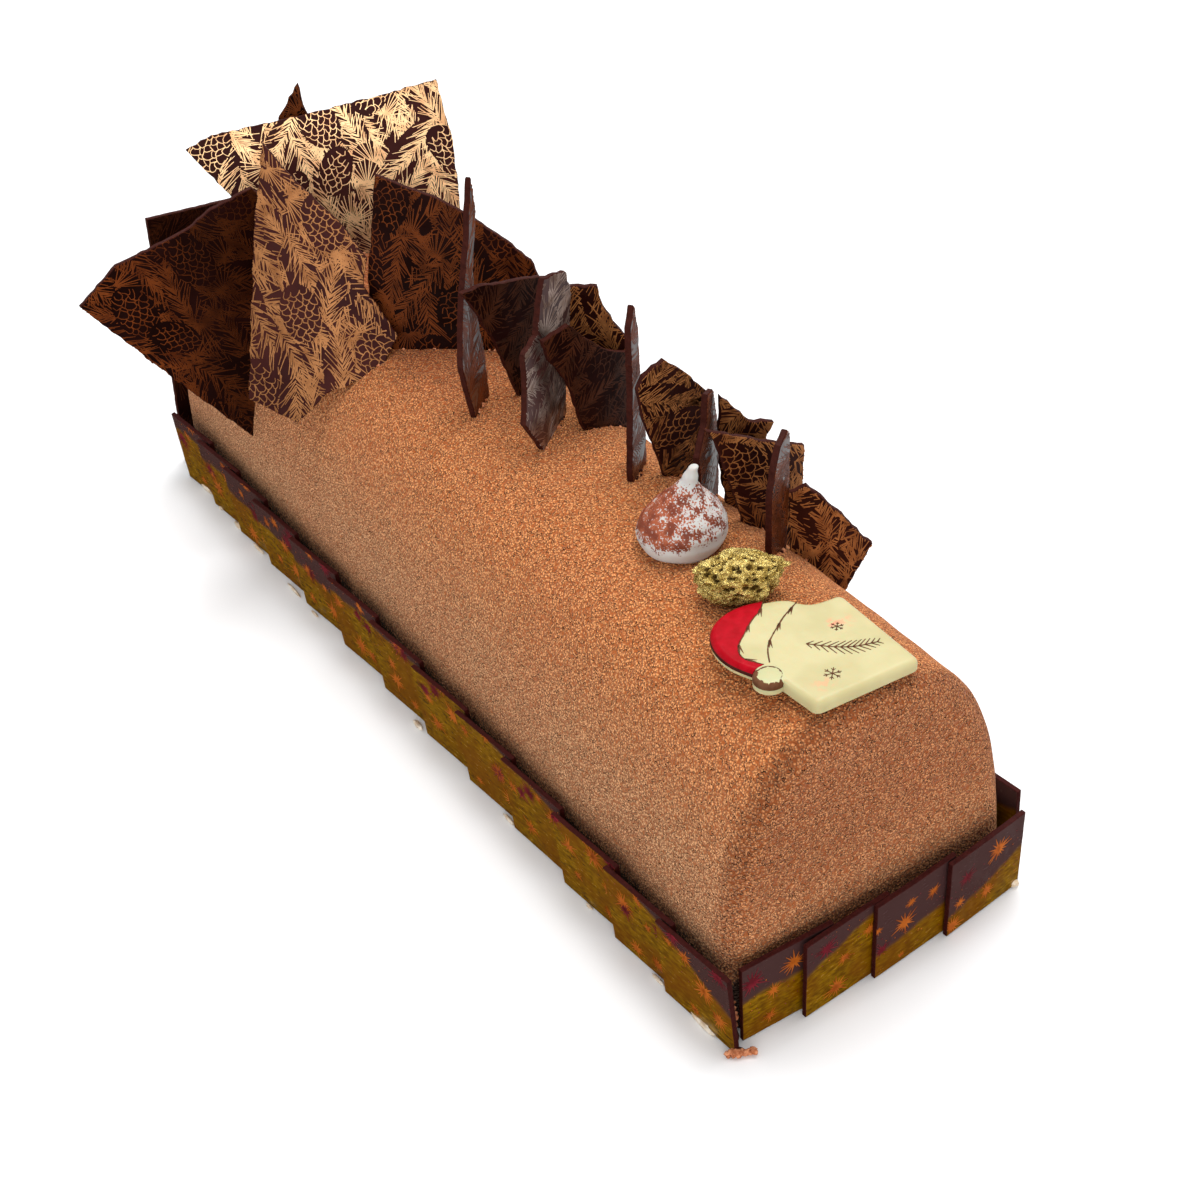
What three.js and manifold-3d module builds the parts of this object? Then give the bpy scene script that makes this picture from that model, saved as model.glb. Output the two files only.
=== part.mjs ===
// A yule log cake: a mousse log with a velvet cocoa coat, a skirt of square chocolate panels,
// chocolate sheets broken into shards and pushed into its top, and three small toppings.
// Units are millimetres. X runs along the log to its front end, +Y is its far side, Z is up.
// The origin is the middle of the log's flat underside.

import * as THREE from "three";
import { mergeVertices } from "three/addons/utils/BufferGeometryUtils.js";
import Module from "manifold-3d";

// ---------------------------------------------------------------- driving sizes

const GAP = 0.3; // clearance between pieces that touch

// The log, as it leaves a standard silicone mould.
const LOG_LENGTH = 289;
const LOG_WIDTH = 80;
const LOG_HEIGHT = 75.8;
const LOG_ROUNDNESS = 2.8; // exponent of the arch, 2 is an ellipse and a larger one is squarer
const LOG_FILLET = 6.5; // rounding round each end face
const ARCH_STEPS = 44;
const FILLET_STEPS = 4;

// The skirt: square panels that stand on edge and overlap like shingles. Each panel has a start,
// the place of its first lower corner along its row, and its row faces -Y before it is turned.
const PANEL_SIDE = 24;
const PANEL_THICK = 1.3;

// A side row. out: middle of the panels' feet from the log's middle plane. yaw: degrees that turn
// each panel's first edge outwards. lean: degrees that its top leans outwards. The spreads are the
// most that one panel differs from these.
const LEFT_ROW = {
  label: "left", seed: 1, out: 42.7, yaw: 5.3, yawSpread: 0.6, lean: 2.4, leanSpread: 0.5,
  starts: [-141, -121.5, -102.5, -81.5, -57.5, -33.5, -9.5, 14, 36.5, 58.5, 82, 104, 124.5],
};
const RIGHT_ROW = {
  label: "right", seed: 2, out: 42.2, yaw: 4.7, yawSpread: 0.4, lean: 0.5, leanSpread: 0.4,
  starts: [-143.5, -121, -99, -76.5, -54, -31.5, -9, 13, 35, 57, 79, 101, 123],
};

// The front row's panels were set one by one. out is the middle of the foot from the log's middle.
const FRONT_PANELS = [
  { start: -38.8, out: 146.5, yaw: -2.5, lean: 3 },
  { start: -24, out: 148.5, yaw: 3, lean: 3 },
  { start: -5, out: 148.9, yaw: 4, lean: 3 },
  { start: 15.8, out: 148.8, yaw: 6, lean: 3 },
];

// One tall sheet closes the back end.
const BACK_SHEET = { at: [-150, -42, 0], outline: [[0, 0], [84, 0], [81, 77], [34, 81], [7, 84]] };

const SHEET_THICK = 1.6;

// Shards. at: a point on the sheet, at the log's skin. turn: heading of the printed face, in
// degrees, where 0 faces -Y and 90 faces +X. lean: degrees that the face tips up. bend: millimetres
// that the sheet's ends fall back from its middle. twist: millimetres that its corners are wrung.
// outline: the broken edge as [across, up] from that point. Its lowest corners reach below the
// log's skin, and what would lie inside the log is cut away.
const SHARDS = [
  {
    name: "shard_big_left", at: [-91, -37.8, 38.2], turn: 76, lean: 0, bend: 2, twist: 0,
    outline: [[0, 0], [4, -2], [26, 18], [24, 60], [15, 75], [3, 72], [-4, 68], [-25, 62], [-37, 52]],
  },
  {
    name: "shard_big_front", at: [-43.6, -13.5, 74.5], turn: 62, lean: 20, bend: 2, twist: 0,
    outline: [
      [-25, -13], [-16, -6], [-1, -2], [5, 7], [-2, 21], [0, 28], [-6, 39], [-18, 54], [-22, 61],
      [-28, 39], [-37, -5],
    ],
  },
  {
    name: "shard_big_middle", at: [-108, 0, 75.8], turn: 66, lean: 20, bend: 3, twist: 0,
    outline: [
      [-10, -8], [34, -16], [43, 6], [44, 26], [42, 44], [25, 42], [4, 40], [-10, 39], [-24, 38],
      [-32, 35], [-22, 21],
    ],
  },
  {
    name: "shard_big_hidden", at: [-122, 5, 75], turn: 60, lean: 10, bend: 1, twist: 0,
    outline: [[-8, -6], [9, -6], [10, 20], [4, 37], [3, 45], [-4, 36], [-10, 14]],
  },
  {
    name: "shard_big_right", at: [-40, -0.5, 75.8], turn: 52, lean: 8, bend: 3, twist: 0,
    outline: [
      [-16, -2], [0, -5], [30, -18], [32, 14], [29, 23], [21, 31], [14, 37], [6, 42], [-9, 48],
      [-15, 20],
    ],
  },
  {
    name: "shard_01", at: [-5, -7.6, 75.4], turn: 128, lean: 0, bend: -1, twist: 0,
    outline: [
      [-1, -2], [8, -4], [9, 12], [8, 24], [9, 36], [14, 50], [14, 59], [9, 44], [1, 30], [-6, 17],
    ],
  },
  {
    name: "shard_02", at: [-5, 7, 75.6], turn: 98, lean: 0, bend: 1, twist: 0,
    outline: [[-1, -3], [10, -7], [15, 27], [6, 31], [-2, 33], [-8, 35], [-14, 35], [-12, 31], [-7, 19]],
  },
  {
    name: "shard_03", at: [17.8, -0.8, 75.8], turn: 120, lean: 0, bend: 0, twist: 2.5,
    outline: [
      [-2, -3], [13, -4], [14, 7], [13, 18], [17, 25], [17, 34], [15, 40], [7, 42], [2, 29], [-4, 27],
      [-6, 18], [-10, 11],
    ],
  },
  {
    name: "shard_04", at: [10, 20, 71], turn: 60, lean: 0, bend: 0, twist: 0,
    outline: [[-4, -4], [8, -10], [10, 19], [7, 25], [4, 31], [3, 37], [-6, 38]],
  },
  {
    name: "shard_05", at: [19.6, 10.4, 75.2], turn: 95, lean: 0, bend: 1.5, twist: 0,
    outline: [
      [0, -3], [14, -14], [16, 15], [9, 19], [3, 25], [-2, 31], [-9, 29], [-8, 23], [-4, 16],
    ],
  },
  {
    name: "shard_06", at: [43.9, 9, 75.3], turn: 128, lean: -2, bend: 0, twist: 0,
    outline: [[-4, -2], [6, -4], [7, 10], [5, 26], [5, 38], [3, 45], [0, 41], [-1, 23], [-4, 4]],
  },
  {
    name: "shard_07", at: [47.5, 15.1, 74], turn: 90, lean: 0, bend: 0, twist: 0,
    outline: [[0, -3], [10, -10], [13, 19], [6, 28], [2, 32], [-4, 30], [-6, 27], [-5, 18], [-2, 7]],
  },
  {
    name: "shard_08", at: [61.5, 16.6, 72.8], turn: 127, lean: -3, bend: 0, twist: 0,
    outline: [[-2, -2], [9, -8], [9, 16], [5, 29], [1, 30], [0, 23], [-6, 17]],
  },
  {
    name: "shard_09", at: [62, 28, 64], turn: 75, lean: 0, bend: 0, twist: 0,
    outline: [[-4, -2], [2, -6], [6, 22], [8, 25], [2, 27], [-5, 36], [-6, 17]],
  },
  {
    name: "shard_10", at: [72.9, 20.3, 71.5], turn: 82, lean: 0, bend: 2, twist: 0,
    outline: [[0, -3], [12, -16], [16, 5], [17, 15], [1, 24], [-8, 28], [-6, 24], [-4, 15], [-2, 7]],
  },
  {
    name: "shard_11", at: [88.2, 16.8, 73.3], turn: 125, lean: -4, bend: 0, twist: 0,
    outline: [[-2, -3], [8, -8], [8, 10], [7, 28], [5, 31], [0, 30], [-3, 26], [-5, 20], [-4, 4]],
  },
  {
    name: "shard_12", at: [86, 26, 66.7], turn: 60, lean: 0, bend: 1, twist: 0,
    outline: [[4, -8], [10, -12], [17, 1], [15, 3], [10, 11], [2, 20], [-2, 18], [-2, 0]],
  },
];
const BEND_STEPS = 6; // flat strips along a bent sheet, and across a twisted one

// The meringue kiss, as a profile of [radius, height], with a tip that leans.
const KISS_AT = [74.2, 1.7, 75.2];
const KISS_PROFILE = [
  [7.6, 0], [9.6, 1.7], [10.4, 4.3], [9.8, 7.8], [8, 11], [5.4, 13.8], [2.8, 16.7], [1.6, 19],
  [1.1, 20.8],
];
const KISS_LEAN = { heading: 61, reach: 3.6 };
const KISS_ROWS = 20;
const KISS_SIDES = 30;

// The gilded puffed nugget.
const NUGGET_AT = [98.8, 0.3, 80.9];
const NUGGET_SIZE = [19.6, 12.2, 11.8];
const NUGGET_HEADING = 59;
const NUGGET_DETAIL = 8;

// The plaque: a square tablet with a floppy hat over one corner, cast in one piece.
const PLAQUE_AT = [127.6, 1.6, 76.3];
const PLAQUE_TILT = 3;
const PLAQUE_TURN = -2;
const PLAQUE_THICK = 2.8;
const PLAQUE_LENGTH = 28;
const PLAQUE_WIDTH = 27;
const PLAQUE_CORNER = 2.2;
const PLAQUE_ROUND = 1.6;
const POMPOM_AT = [0.5, -15.4];
const POMPOM_RADIUS = 3.5;
const POMPOM_FROM = 0.6; // radians past the level where the hat's edge meets the pompom
const POMPOM_TO = 0.3; // and where the tablet's edge does

// ---------------------------------------------------------------- helpers

const wasm = await Module();
wasm.setup();

const radians = THREE.MathUtils.degToRad;

const chocolate = new THREE.MeshStandardMaterial({ color: 0x2e1512, roughness: 0.25, metalness: 0 });
const velvet = new THREE.MeshStandardMaterial({ color: 0xb87a52, roughness: 0.95, metalness: 0 });
const meringue = new THREE.MeshStandardMaterial({ color: 0xeceae2, roughness: 0.7, metalness: 0 });
const gilding = new THREE.MeshStandardMaterial({ color: 0xb49a3e, roughness: 0.4, metalness: 0.8 });
const ivory = new THREE.MeshStandardMaterial({ color: 0xebe3b4, roughness: 0.4, metalness: 0 });

// Turns a closed geometry into a manifold-3d solid.
function toSolid(geometry) {
  const bare = geometry.clone();
  bare.deleteAttribute("normal");
  bare.deleteAttribute("uv");
  const merged = mergeVertices(bare, 1e-4);
  return new wasm.Manifold(new wasm.Mesh({
    numProp: 3,
    vertProperties: new Float32Array(merged.attributes.position.array),
    triVerts: new Uint32Array(merged.index.array),
  }));
}

// Turns a manifold-3d solid back into a geometry.
function toGeometry(solid) {
  const mesh = solid.getMesh();
  const geometry = new THREE.BufferGeometry();
  geometry.setAttribute("position", new THREE.BufferAttribute(mesh.vertProperties, 3));
  geometry.setIndex(new THREE.BufferAttribute(mesh.triVerts, 1));
  geometry.computeVertexNormals();
  return geometry;
}

// Moves every vertex of a geometry by a function that changes a Vector3 in place.
function reshape(geometry, change) {
  const position = geometry.attributes.position;
  const point = new THREE.Vector3();
  for (let i = 0; i < position.count; i += 1) {
    point.fromBufferAttribute(position, i);
    change(point);
    position.setXYZ(i, point.x, point.y, point.z);
  }
  position.needsUpdate = true;
  return geometry;
}

// A repeatable uneven value between -1 and 1 for the i-th of a set of like pieces.
function uneven(i, seed) {
  const wave = Math.sin(12.9898 * (i + 1) + 78.233 * seed) * 43758.5453;
  return 2 * (wave - Math.floor(wave)) - 1;
}

// Cuts away everything below the level Z = 0, which leaves a flat underside.
function cutFlat(geometry) {
  const size = new THREE.Box3().setFromBufferAttribute(geometry.attributes.position)
    .getSize(new THREE.Vector3()).multiplyScalar(4);
  const below = new THREE.BoxGeometry(size.x, size.y, size.z).translate(0, 0, -size.z / 2);
  return toGeometry(toSolid(geometry).subtract(toSolid(below)));
}

// Cuts away what a placed mesh would have inside the log, and keeps its place.
function trimByLog(mesh, logSolid) {
  mesh.updateMatrix();
  const placed = mesh.geometry.clone().applyMatrix4(mesh.matrix);
  const trimmed = toGeometry(toSolid(placed).subtract(logSolid));
  mesh.geometry = trimmed.applyMatrix4(mesh.matrix.clone().invert());
  return mesh;
}

// ---------------------------------------------------------------- the log

// The arch is half a superellipse. It is extruded with a rounded bevel along X, from below the
// base, and the base is then cut flat. grow adds the clearance all round.
function logGeometry(grow) {
  const halfWidth = LOG_WIDTH / 2 + grow;
  const height = LOG_HEIGHT + grow;
  const foot = -2 * LOG_FILLET;
  const power = 2 / LOG_ROUNDNESS;
  const arch = [new THREE.Vector2(halfWidth, foot)];
  for (let i = 0; i <= ARCH_STEPS; i += 1) {
    const angle = (Math.PI * i) / ARCH_STEPS;
    const across = Math.sign(Math.cos(angle)) * Math.abs(Math.cos(angle)) ** power * halfWidth;
    arch.push(new THREE.Vector2(across, Math.abs(Math.sin(angle)) ** power * height));
  }
  arch.push(new THREE.Vector2(-halfWidth, foot));
  const barrel = new THREE.ExtrudeGeometry(new THREE.Shape(arch), {
    depth: LOG_LENGTH + 2 * grow - 2 * LOG_FILLET,
    bevelThickness: LOG_FILLET,
    bevelSize: LOG_FILLET,
    bevelOffset: -LOG_FILLET,
    bevelSegments: FILLET_STEPS,
  });
  barrel.translate(0, 0, -LOG_LENGTH / 2 - grow + LOG_FILLET);
  const alongX = new THREE.Matrix4().makeBasis(
    new THREE.Vector3(0, 1, 0),
    new THREE.Vector3(0, 0, 1),
    new THREE.Vector3(1, 0, 0),
  );
  return cutFlat(barrel.applyMatrix4(alongX));
}

function makeLog() {
  const log = new THREE.Mesh(logGeometry(0), velvet);
  log.name = "log";
  return log;
}

// ---------------------------------------------------------------- the skirt

// One panel, with its first lower corner at start along the row. The row's group has -Y outwards.
function makePanel(name, start, yaw, lean) {
  const geometry = new THREE.BoxGeometry(PANEL_SIDE, PANEL_THICK, PANEL_SIDE);
  geometry.translate(0, 0, PANEL_SIDE / 2);
  const panel = new THREE.Mesh(geometry, chocolate);
  panel.name = name;
  panel.position.set(start + PANEL_SIDE / 2, 0, 0);
  panel.rotation.set(radians(lean), 0, radians(yaw), "ZXY");
  const lowest = new THREE.Box3().setFromObject(panel).min.z;
  panel.position.z -= lowest;
  return panel;
}

// Panels along one long side.
function makeSideRow(row) {
  const group = new THREE.Group();
  row.starts.forEach((start, i) => {
    const name = `panel_${row.label}_${String(i + 1).padStart(2, "0")}`;
    const yaw = row.yaw + row.yawSpread * uneven(i, row.seed);
    const lean = row.lean + row.leanSpread * uneven(i, row.seed + 1);
    const panel = makePanel(name, start, yaw, lean);
    panel.position.y = -row.out;
    group.add(panel);
  });
  return group;
}

// Panels across the front end.
function makeFrontRow() {
  const group = new THREE.Group();
  FRONT_PANELS.forEach(({ start, out, yaw, lean }, i) => {
    const panel = makePanel(`panel_front_${String(i + 1).padStart(2, "0")}`, start, yaw, lean);
    panel.position.y = -out;
    group.add(panel);
  });
  return group;
}

function makeSkirt() {
  const skirt = new THREE.Group();
  const left = makeSideRow(LEFT_ROW);
  const right = makeSideRow(RIGHT_ROW);
  right.rotation.z = Math.PI;
  const front = makeFrontRow();
  front.rotation.z = Math.PI / 2;
  skirt.add(left, right, front);
  return skirt;
}

// ---------------------------------------------------------------- sheets and shards

// A sheet is a slab of strips, bent and twisted, and cut to its outline. The outline is in the
// slab's own plane, X across and Y up, and the slab's front face looks along +Z.
function sheetGeometry(outline, thick, bend, twist) {
  const points = outline.map(([across, up]) => new THREE.Vector2(across, up));
  const box = new THREE.Box2().setFromPoints(points);
  const size = box.getSize(new THREE.Vector2());
  const middle = box.getCenter(new THREE.Vector2());
  const margin = 2;
  const rows = twist === 0 ? 1 : BEND_STEPS;
  const slab = new THREE.BoxGeometry(size.x + margin, size.y + margin, thick, BEND_STEPS, rows, 1);
  reshape(slab, (p) => {
    const across = (2 * p.x) / size.x;
    const up = (2 * p.y) / size.y;
    p.z += twist * across * up - bend * across * across;
    p.x += middle.x;
    p.y += middle.y;
  });
  const reach = 4 * (thick + Math.abs(bend) + Math.abs(twist));
  const cutter = new THREE.ExtrudeGeometry(new THREE.Shape(points), {
    depth: 2 * reach,
    bevelEnabled: false,
  });
  cutter.translate(0, 0, -reach);
  return toGeometry(toSolid(slab).intersect(toSolid(cutter)));
}

function makeShard(shard, logSolid) {
  const geometry = sheetGeometry(shard.outline, SHEET_THICK, shard.bend, shard.twist);
  const mesh = new THREE.Mesh(geometry, chocolate);
  mesh.name = shard.name;
  mesh.position.set(...shard.at);
  mesh.rotation.set(radians(90 - shard.lean), 0, radians(shard.turn), "ZXY");
  return trimByLog(mesh, logSolid);
}

function makeBackSheet() {
  const mesh = new THREE.Mesh(sheetGeometry(BACK_SHEET.outline, SHEET_THICK, 0, 0), chocolate);
  mesh.name = "back_sheet";
  mesh.position.set(...BACK_SHEET.at);
  mesh.rotation.set(Math.PI / 2, 0, Math.PI / 2, "ZXY");
  return mesh;
}

// ---------------------------------------------------------------- toppings

// The kiss is turned round its axis, and its upper part leans further the higher it is.
function makeKiss(logSolid) {
  const side = new THREE.SplineCurve(KISS_PROFILE.map(([r, z]) => new THREE.Vector2(r, z)));
  const top = KISS_PROFILE[KISS_PROFILE.length - 1][1];
  const profile = [new THREE.Vector2(0, 0), ...side.getPoints(KISS_ROWS)];
  profile.push(new THREE.Vector2(0, top + 0.4));
  const geometry = new THREE.LatheGeometry(profile, KISS_SIDES).rotateX(Math.PI / 2);
  const heading = radians(KISS_LEAN.heading);
  reshape(geometry, (p) => {
    const lean = KISS_LEAN.reach * (Math.max(p.z, 0) / top) ** 2.2;
    p.x += lean * Math.cos(heading);
    p.y += lean * Math.sin(heading);
  });
  const kiss = new THREE.Mesh(geometry, meringue);
  kiss.name = "meringue_kiss";
  kiss.position.set(...KISS_AT);
  return trimByLog(kiss, logSolid);
}

// The nugget is an ellipsoid with lumps from crossed waves, drawn out to a point at one end.
function makeNugget(logSolid) {
  const geometry = new THREE.IcosahedronGeometry(1, NUGGET_DETAIL);
  reshape(geometry, (p) => {
    const lumps = Math.sin(7 * p.x + 1) * Math.sin(8 * p.y + 2) * Math.sin(7.5 * p.z + 0.5);
    const pits = Math.sin(15 * p.x) * Math.sin(16 * p.y + 1) * Math.sin(14 * p.z + 2);
    const point = Math.max(p.x, 0) ** 2;
    p.multiplyScalar(1 + 0.1 * lumps + 0.06 * pits);
    p.y *= 1 - 0.45 * point;
    p.z *= 1 - 0.35 * point;
    p.multiply(new THREE.Vector3(...NUGGET_SIZE).multiplyScalar(0.5));
  });
  const nugget = new THREE.Mesh(geometry, gilding);
  nugget.name = "gilded_nugget";
  nugget.position.set(...NUGGET_AT);
  nugget.rotation.z = radians(NUGGET_HEADING);
  return trimByLog(nugget, logSolid);
}

// The plaque's outline: a tablet, whose back left corner is the hat. The hat hangs down the left
// side to its round pompom. X runs along the log and Y across it, from the tablet's middle.
function plaqueShape() {
  const right = PLAQUE_LENGTH / 2;
  const far = PLAQUE_WIDTH / 2;
  const shape = new THREE.Shape();
  shape.moveTo(right - PLAQUE_CORNER, -far);
  shape.quadraticCurveTo(right, -far, right, -far + PLAQUE_CORNER);
  shape.lineTo(right, far - PLAQUE_CORNER);
  shape.quadraticCurveTo(right, far, right - PLAQUE_CORNER, far);
  shape.lineTo(-right + PLAQUE_CORNER, far);
  shape.quadraticCurveTo(-right, far, -right, far - PLAQUE_CORNER);
  shape.bezierCurveTo(-14.2, 7.6, -14.2, 5.8, -16.6, 4.2);
  shape.bezierCurveTo(-19.2, 3.4, -20, 1, -21, -2.5);
  shape.bezierCurveTo(-23.4, -7, -22.8, -14, -18.1, -17.6);
  shape.bezierCurveTo(-14, -20.4, -9, -20.3, -5.4, -18.8);
  shape.absarc(...POMPOM_AT, POMPOM_RADIUS, Math.PI + POMPOM_FROM, 2 * Math.PI + POMPOM_TO, false);
  return shape;
}

function makePlaque() {
  const geometry = new THREE.ExtrudeGeometry(plaqueShape(), {
    depth: PLAQUE_THICK,
    bevelThickness: PLAQUE_ROUND,
    bevelSize: PLAQUE_ROUND,
    bevelOffset: -PLAQUE_ROUND,
    bevelSegments: 3,
    curveSegments: 8,
  });
  geometry.translate(0, 0, -PLAQUE_ROUND);
  const plaque = new THREE.Mesh(cutFlat(geometry), ivory);
  plaque.name = "plaque";
  plaque.position.set(...PLAQUE_AT);
  plaque.rotation.set(radians(-PLAQUE_TILT), 0, radians(PLAQUE_TURN), "ZXY");
  return plaque;
}

// ---------------------------------------------------------------- the whole cake

const cutLog = toSolid(logGeometry(GAP));
const cake = new THREE.Group();
cake.add(makeLog(), makeSkirt(), makeBackSheet());
SHARDS.forEach((shard) => cake.add(makeShard(shard, cutLog)));
cake.add(makeKiss(cutLog), makeNugget(cutLog), makePlaque());

export default cake;
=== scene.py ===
import math

import bpy
import numpy as np
from mathutils import Matrix


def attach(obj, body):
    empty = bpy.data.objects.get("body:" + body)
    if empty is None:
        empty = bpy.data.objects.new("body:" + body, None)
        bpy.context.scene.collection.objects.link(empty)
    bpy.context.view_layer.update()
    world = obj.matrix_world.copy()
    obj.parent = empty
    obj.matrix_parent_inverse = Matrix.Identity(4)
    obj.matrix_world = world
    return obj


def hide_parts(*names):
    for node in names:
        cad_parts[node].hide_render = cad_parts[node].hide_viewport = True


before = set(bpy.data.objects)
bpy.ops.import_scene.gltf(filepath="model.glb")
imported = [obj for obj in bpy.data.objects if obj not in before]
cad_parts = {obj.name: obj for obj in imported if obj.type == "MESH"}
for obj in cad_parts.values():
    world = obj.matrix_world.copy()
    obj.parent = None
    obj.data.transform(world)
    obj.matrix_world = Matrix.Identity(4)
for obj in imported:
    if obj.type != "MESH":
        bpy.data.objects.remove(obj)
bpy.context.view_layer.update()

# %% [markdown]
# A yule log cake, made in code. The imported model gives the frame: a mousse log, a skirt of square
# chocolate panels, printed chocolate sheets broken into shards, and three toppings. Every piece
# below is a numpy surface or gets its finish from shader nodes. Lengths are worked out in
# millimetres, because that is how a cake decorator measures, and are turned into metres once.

MM = 0.001

# %% [markdown]
# A closed skin is the base of most pieces: a stack of closed rings with a point at each end. It
# could be modelled by hand with loops and fills, but as arrays the whole shape follows one
# formula, and the ends are closed by fans round their points, so no seam is left open.

# %% Rings to faces
def ring_faces(rings, around, start=0):
    """Faces of a skin whose points are: first pole, rings * around points, last pole.
    Neighbouring rings are joined by quads, and each pole to its ring by a fan of triangles."""
    row = np.arange(rings)[:, None] * around + start + 1
    i = np.arange(around)[None, :]
    j = (i + 1) % around
    quads = np.stack([row[:-1] + i, row[:-1] + j, row[1:] + j, row[1:] + i], -1).reshape(-1, 4)
    i, j = i[0], j[0]
    last = start + 1 + rings * around
    first_fan = np.stack([np.full(around, start), row[0] + j, row[0] + i], -1)
    last_fan = np.stack([np.full(around, last), row[-1] + i, row[-1] + j], -1)
    return quads, np.concatenate([first_fan, last_fan])


def skin(rings, first, last):
    """A closed skin: rings is (R, N, 3), and first and last are the points that close it."""
    points = np.concatenate([[first], rings.reshape(-1, 3), [last]])
    quads, fans = ring_faces(len(rings), rings.shape[1])
    return points, quads, fans


# %% A mesh object from arrays
def make_piece(name, points, faces, materials, paint=None, sharp=40, uv=None):
    """points is (P, 3) in millimetres. faces is a list of index arrays, and paint gives the
    material's number of each array. Edges sharper than sharp degrees stay crisp."""
    mesh = bpy.data.meshes.new(name)
    mesh.from_pydata((points * MM).tolist(), [], [f for part in faces for f in part.tolist()])
    for material in materials:
        mesh.materials.append(material)
    if paint is not None:
        index = np.concatenate([np.full(len(f), p) for f, p in zip(faces, paint)])
        mesh.polygons.foreach_set("material_index", index.astype(np.int32))
    if uv is not None:
        corner = np.zeros(len(mesh.loops), dtype=np.int32)
        mesh.loops.foreach_get("vertex_index", corner)
        mesh.uv_layers.new(name="place").uv.foreach_set("vector", uv[corner].ravel())
    mesh.shade_smooth()
    mesh.set_sharp_from_angle(angle=math.radians(sharp))
    piece = bpy.data.objects.new(name, mesh)
    bpy.context.collection.objects.link(piece)
    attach(piece, "root")
    return piece


# %% Small tools for shapes
def turn(degrees, axis):
    """The matrix that turns by degrees about the x or the z axis."""
    c, s = math.cos(math.radians(degrees)), math.sin(math.radians(degrees))
    if axis == "x":
        return np.array([[1, 0, 0], [0, c, -s], [0, s, c]])
    return np.array([[c, -s, 0], [s, c, 0], [0, 0, 1]])


def unit(angle):
    """The directions of flat angles."""
    return np.stack([np.cos(angle), np.sin(angle)], -1)


def unit_rows(ways):
    """The vectors of an array, each made one long."""
    return ways / np.linalg.norm(ways, axis=-1, keepdims=True)


def left_of(way):
    """Flat vectors turned a quarter to the left."""
    return np.stack([-way[..., 1], way[..., 0]], -1)


def at_height(flat, z):
    """Flat points with a third coordinate."""
    return np.insert(flat, 2, z, axis=-1)


def turning(outline):
    """1 for an outline that runs round to the left, and -1 for one that runs to the right."""
    ahead = np.roll(outline, -1, axis=0)
    return np.sign((outline[:, 0] * ahead[:, 1] - ahead[:, 0] * outline[:, 1]).sum())


def flowing(knots, count):
    """A smooth line through the knots. Each stretch is the cubic that leaves a knot in the
    direction from the knot before it to the knot after it."""
    knots = np.asarray(knots, float)
    ends = np.concatenate([[2 * knots[0] - knots[1]], knots, [2 * knots[-1] - knots[-2]]])
    t = np.linspace(0, len(knots) - 1, count)
    k = np.minimum(t.astype(int), len(knots) - 2)
    f = (t - k)[:, None]
    a, b, c, d = ends[k], ends[k + 1], ends[k + 2], ends[k + 3]
    return b + 0.5 * f * (c - a + f * (2 * a - 5 * b + 4 * c - d + f * (3 * (b - c) + d - a)))


def even_line(points, count):
    """Points spaced evenly along a drawn line."""
    length = np.concatenate([[0], np.cumsum(np.hypot(*np.diff(points, axis=0).T))])
    even = np.linspace(0, length[-1], count)
    return np.stack([np.interp(even, length, points[:, k]) for k in (0, 1)], -1)


def rumple(points, wave, seed):
    """Smooth unevenness from -1 to 1: the mean of 24 sine waves of that length in random
    directions, made stronger."""
    draw = np.random.default_rng(seed)
    ways = draw.normal(size=(24, points.shape[-1]))
    ways *= 2 * math.pi / wave / np.linalg.norm(ways, axis=1, keepdims=True)
    phase = draw.uniform(0, 2 * math.pi, 24)
    return np.clip(np.sin(points @ ways.T + phase).mean(-1) * 3.5, -1, 1)


def ease(x, low, high):
    """0 below low, 1 above high, and a smooth step between."""
    t = np.clip((x - low) / (high - low), 0, 1)
    return t * t * (3 - 2 * t)


# %% [markdown]
# The camera looks down on the front end from its left, with a long lens, so that the log's far
# end is only a little smaller than the near one. Its place is kept as two angles, a roll and a
# point, and its three axes follow from them.

# %% Camera
CAMERA_AT = (381.46, -193.50, 347.84)
CAMERA_SIDE = 60.77  # degrees from -Y towards +X
CAMERA_UP = 38.22
CAMERA_ROLL = 6.46
LENS = 59.53
SENSOR_WIDTH = 36
FAR_LIMIT = 20


def posed(name, data, axes, at):
    """A new object of the scene at a point in metres, with its three axes along the given ones."""
    pose = np.eye(4)
    pose[:3, :3], pose[:3, 3] = np.transpose(axes), at
    made = bpy.data.objects.new(name, data)
    made.matrix_world = Matrix(pose.tolist())
    bpy.context.collection.objects.link(made)
    return made


side, up, roll = np.radians([CAMERA_SIDE, CAMERA_UP, CAMERA_ROLL])
back = np.array([np.sin(side) * np.cos(up), -np.cos(side) * np.cos(up), np.sin(up)])
right = np.cross(-back, [0, 0, 1])
right /= np.linalg.norm(right)
down = np.cross(-back, right)
camera_x = np.cos(roll) * right + np.sin(roll) * down
camera_y = np.sin(roll) * right - np.cos(roll) * down
lens = bpy.data.cameras.new("camera")
lens.lens, lens.sensor_width, lens.clip_end = LENS, SENSOR_WIDTH, FAR_LIMIT
camera = posed("camera", lens, (camera_x, camera_y, back), np.array(CAMERA_AT) * MM)
bpy.context.scene.camera = camera
print("camera at", CAMERA_AT)

# %% [markdown]
# Finishes are shader nodes. A short function adds a node and fills its sockets with values or
# links, so each material reads as a recipe. What several finishes share is a node group: soft
# patches for colour that drifts, and a bumpy surface for granules, foam and broken chocolate.

# %% Node tools
def colour(red, green, blue):
    """A screen colour from 0 to 255 as the linear colour that shaders use."""
    c = np.array([red, green, blue]) / 255
    linear = np.where(c <= 0.04045, c / 12.92, ((c + 0.055) / 1.055) ** 2.4)
    return (*linear.tolist(), 1.0)


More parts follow.
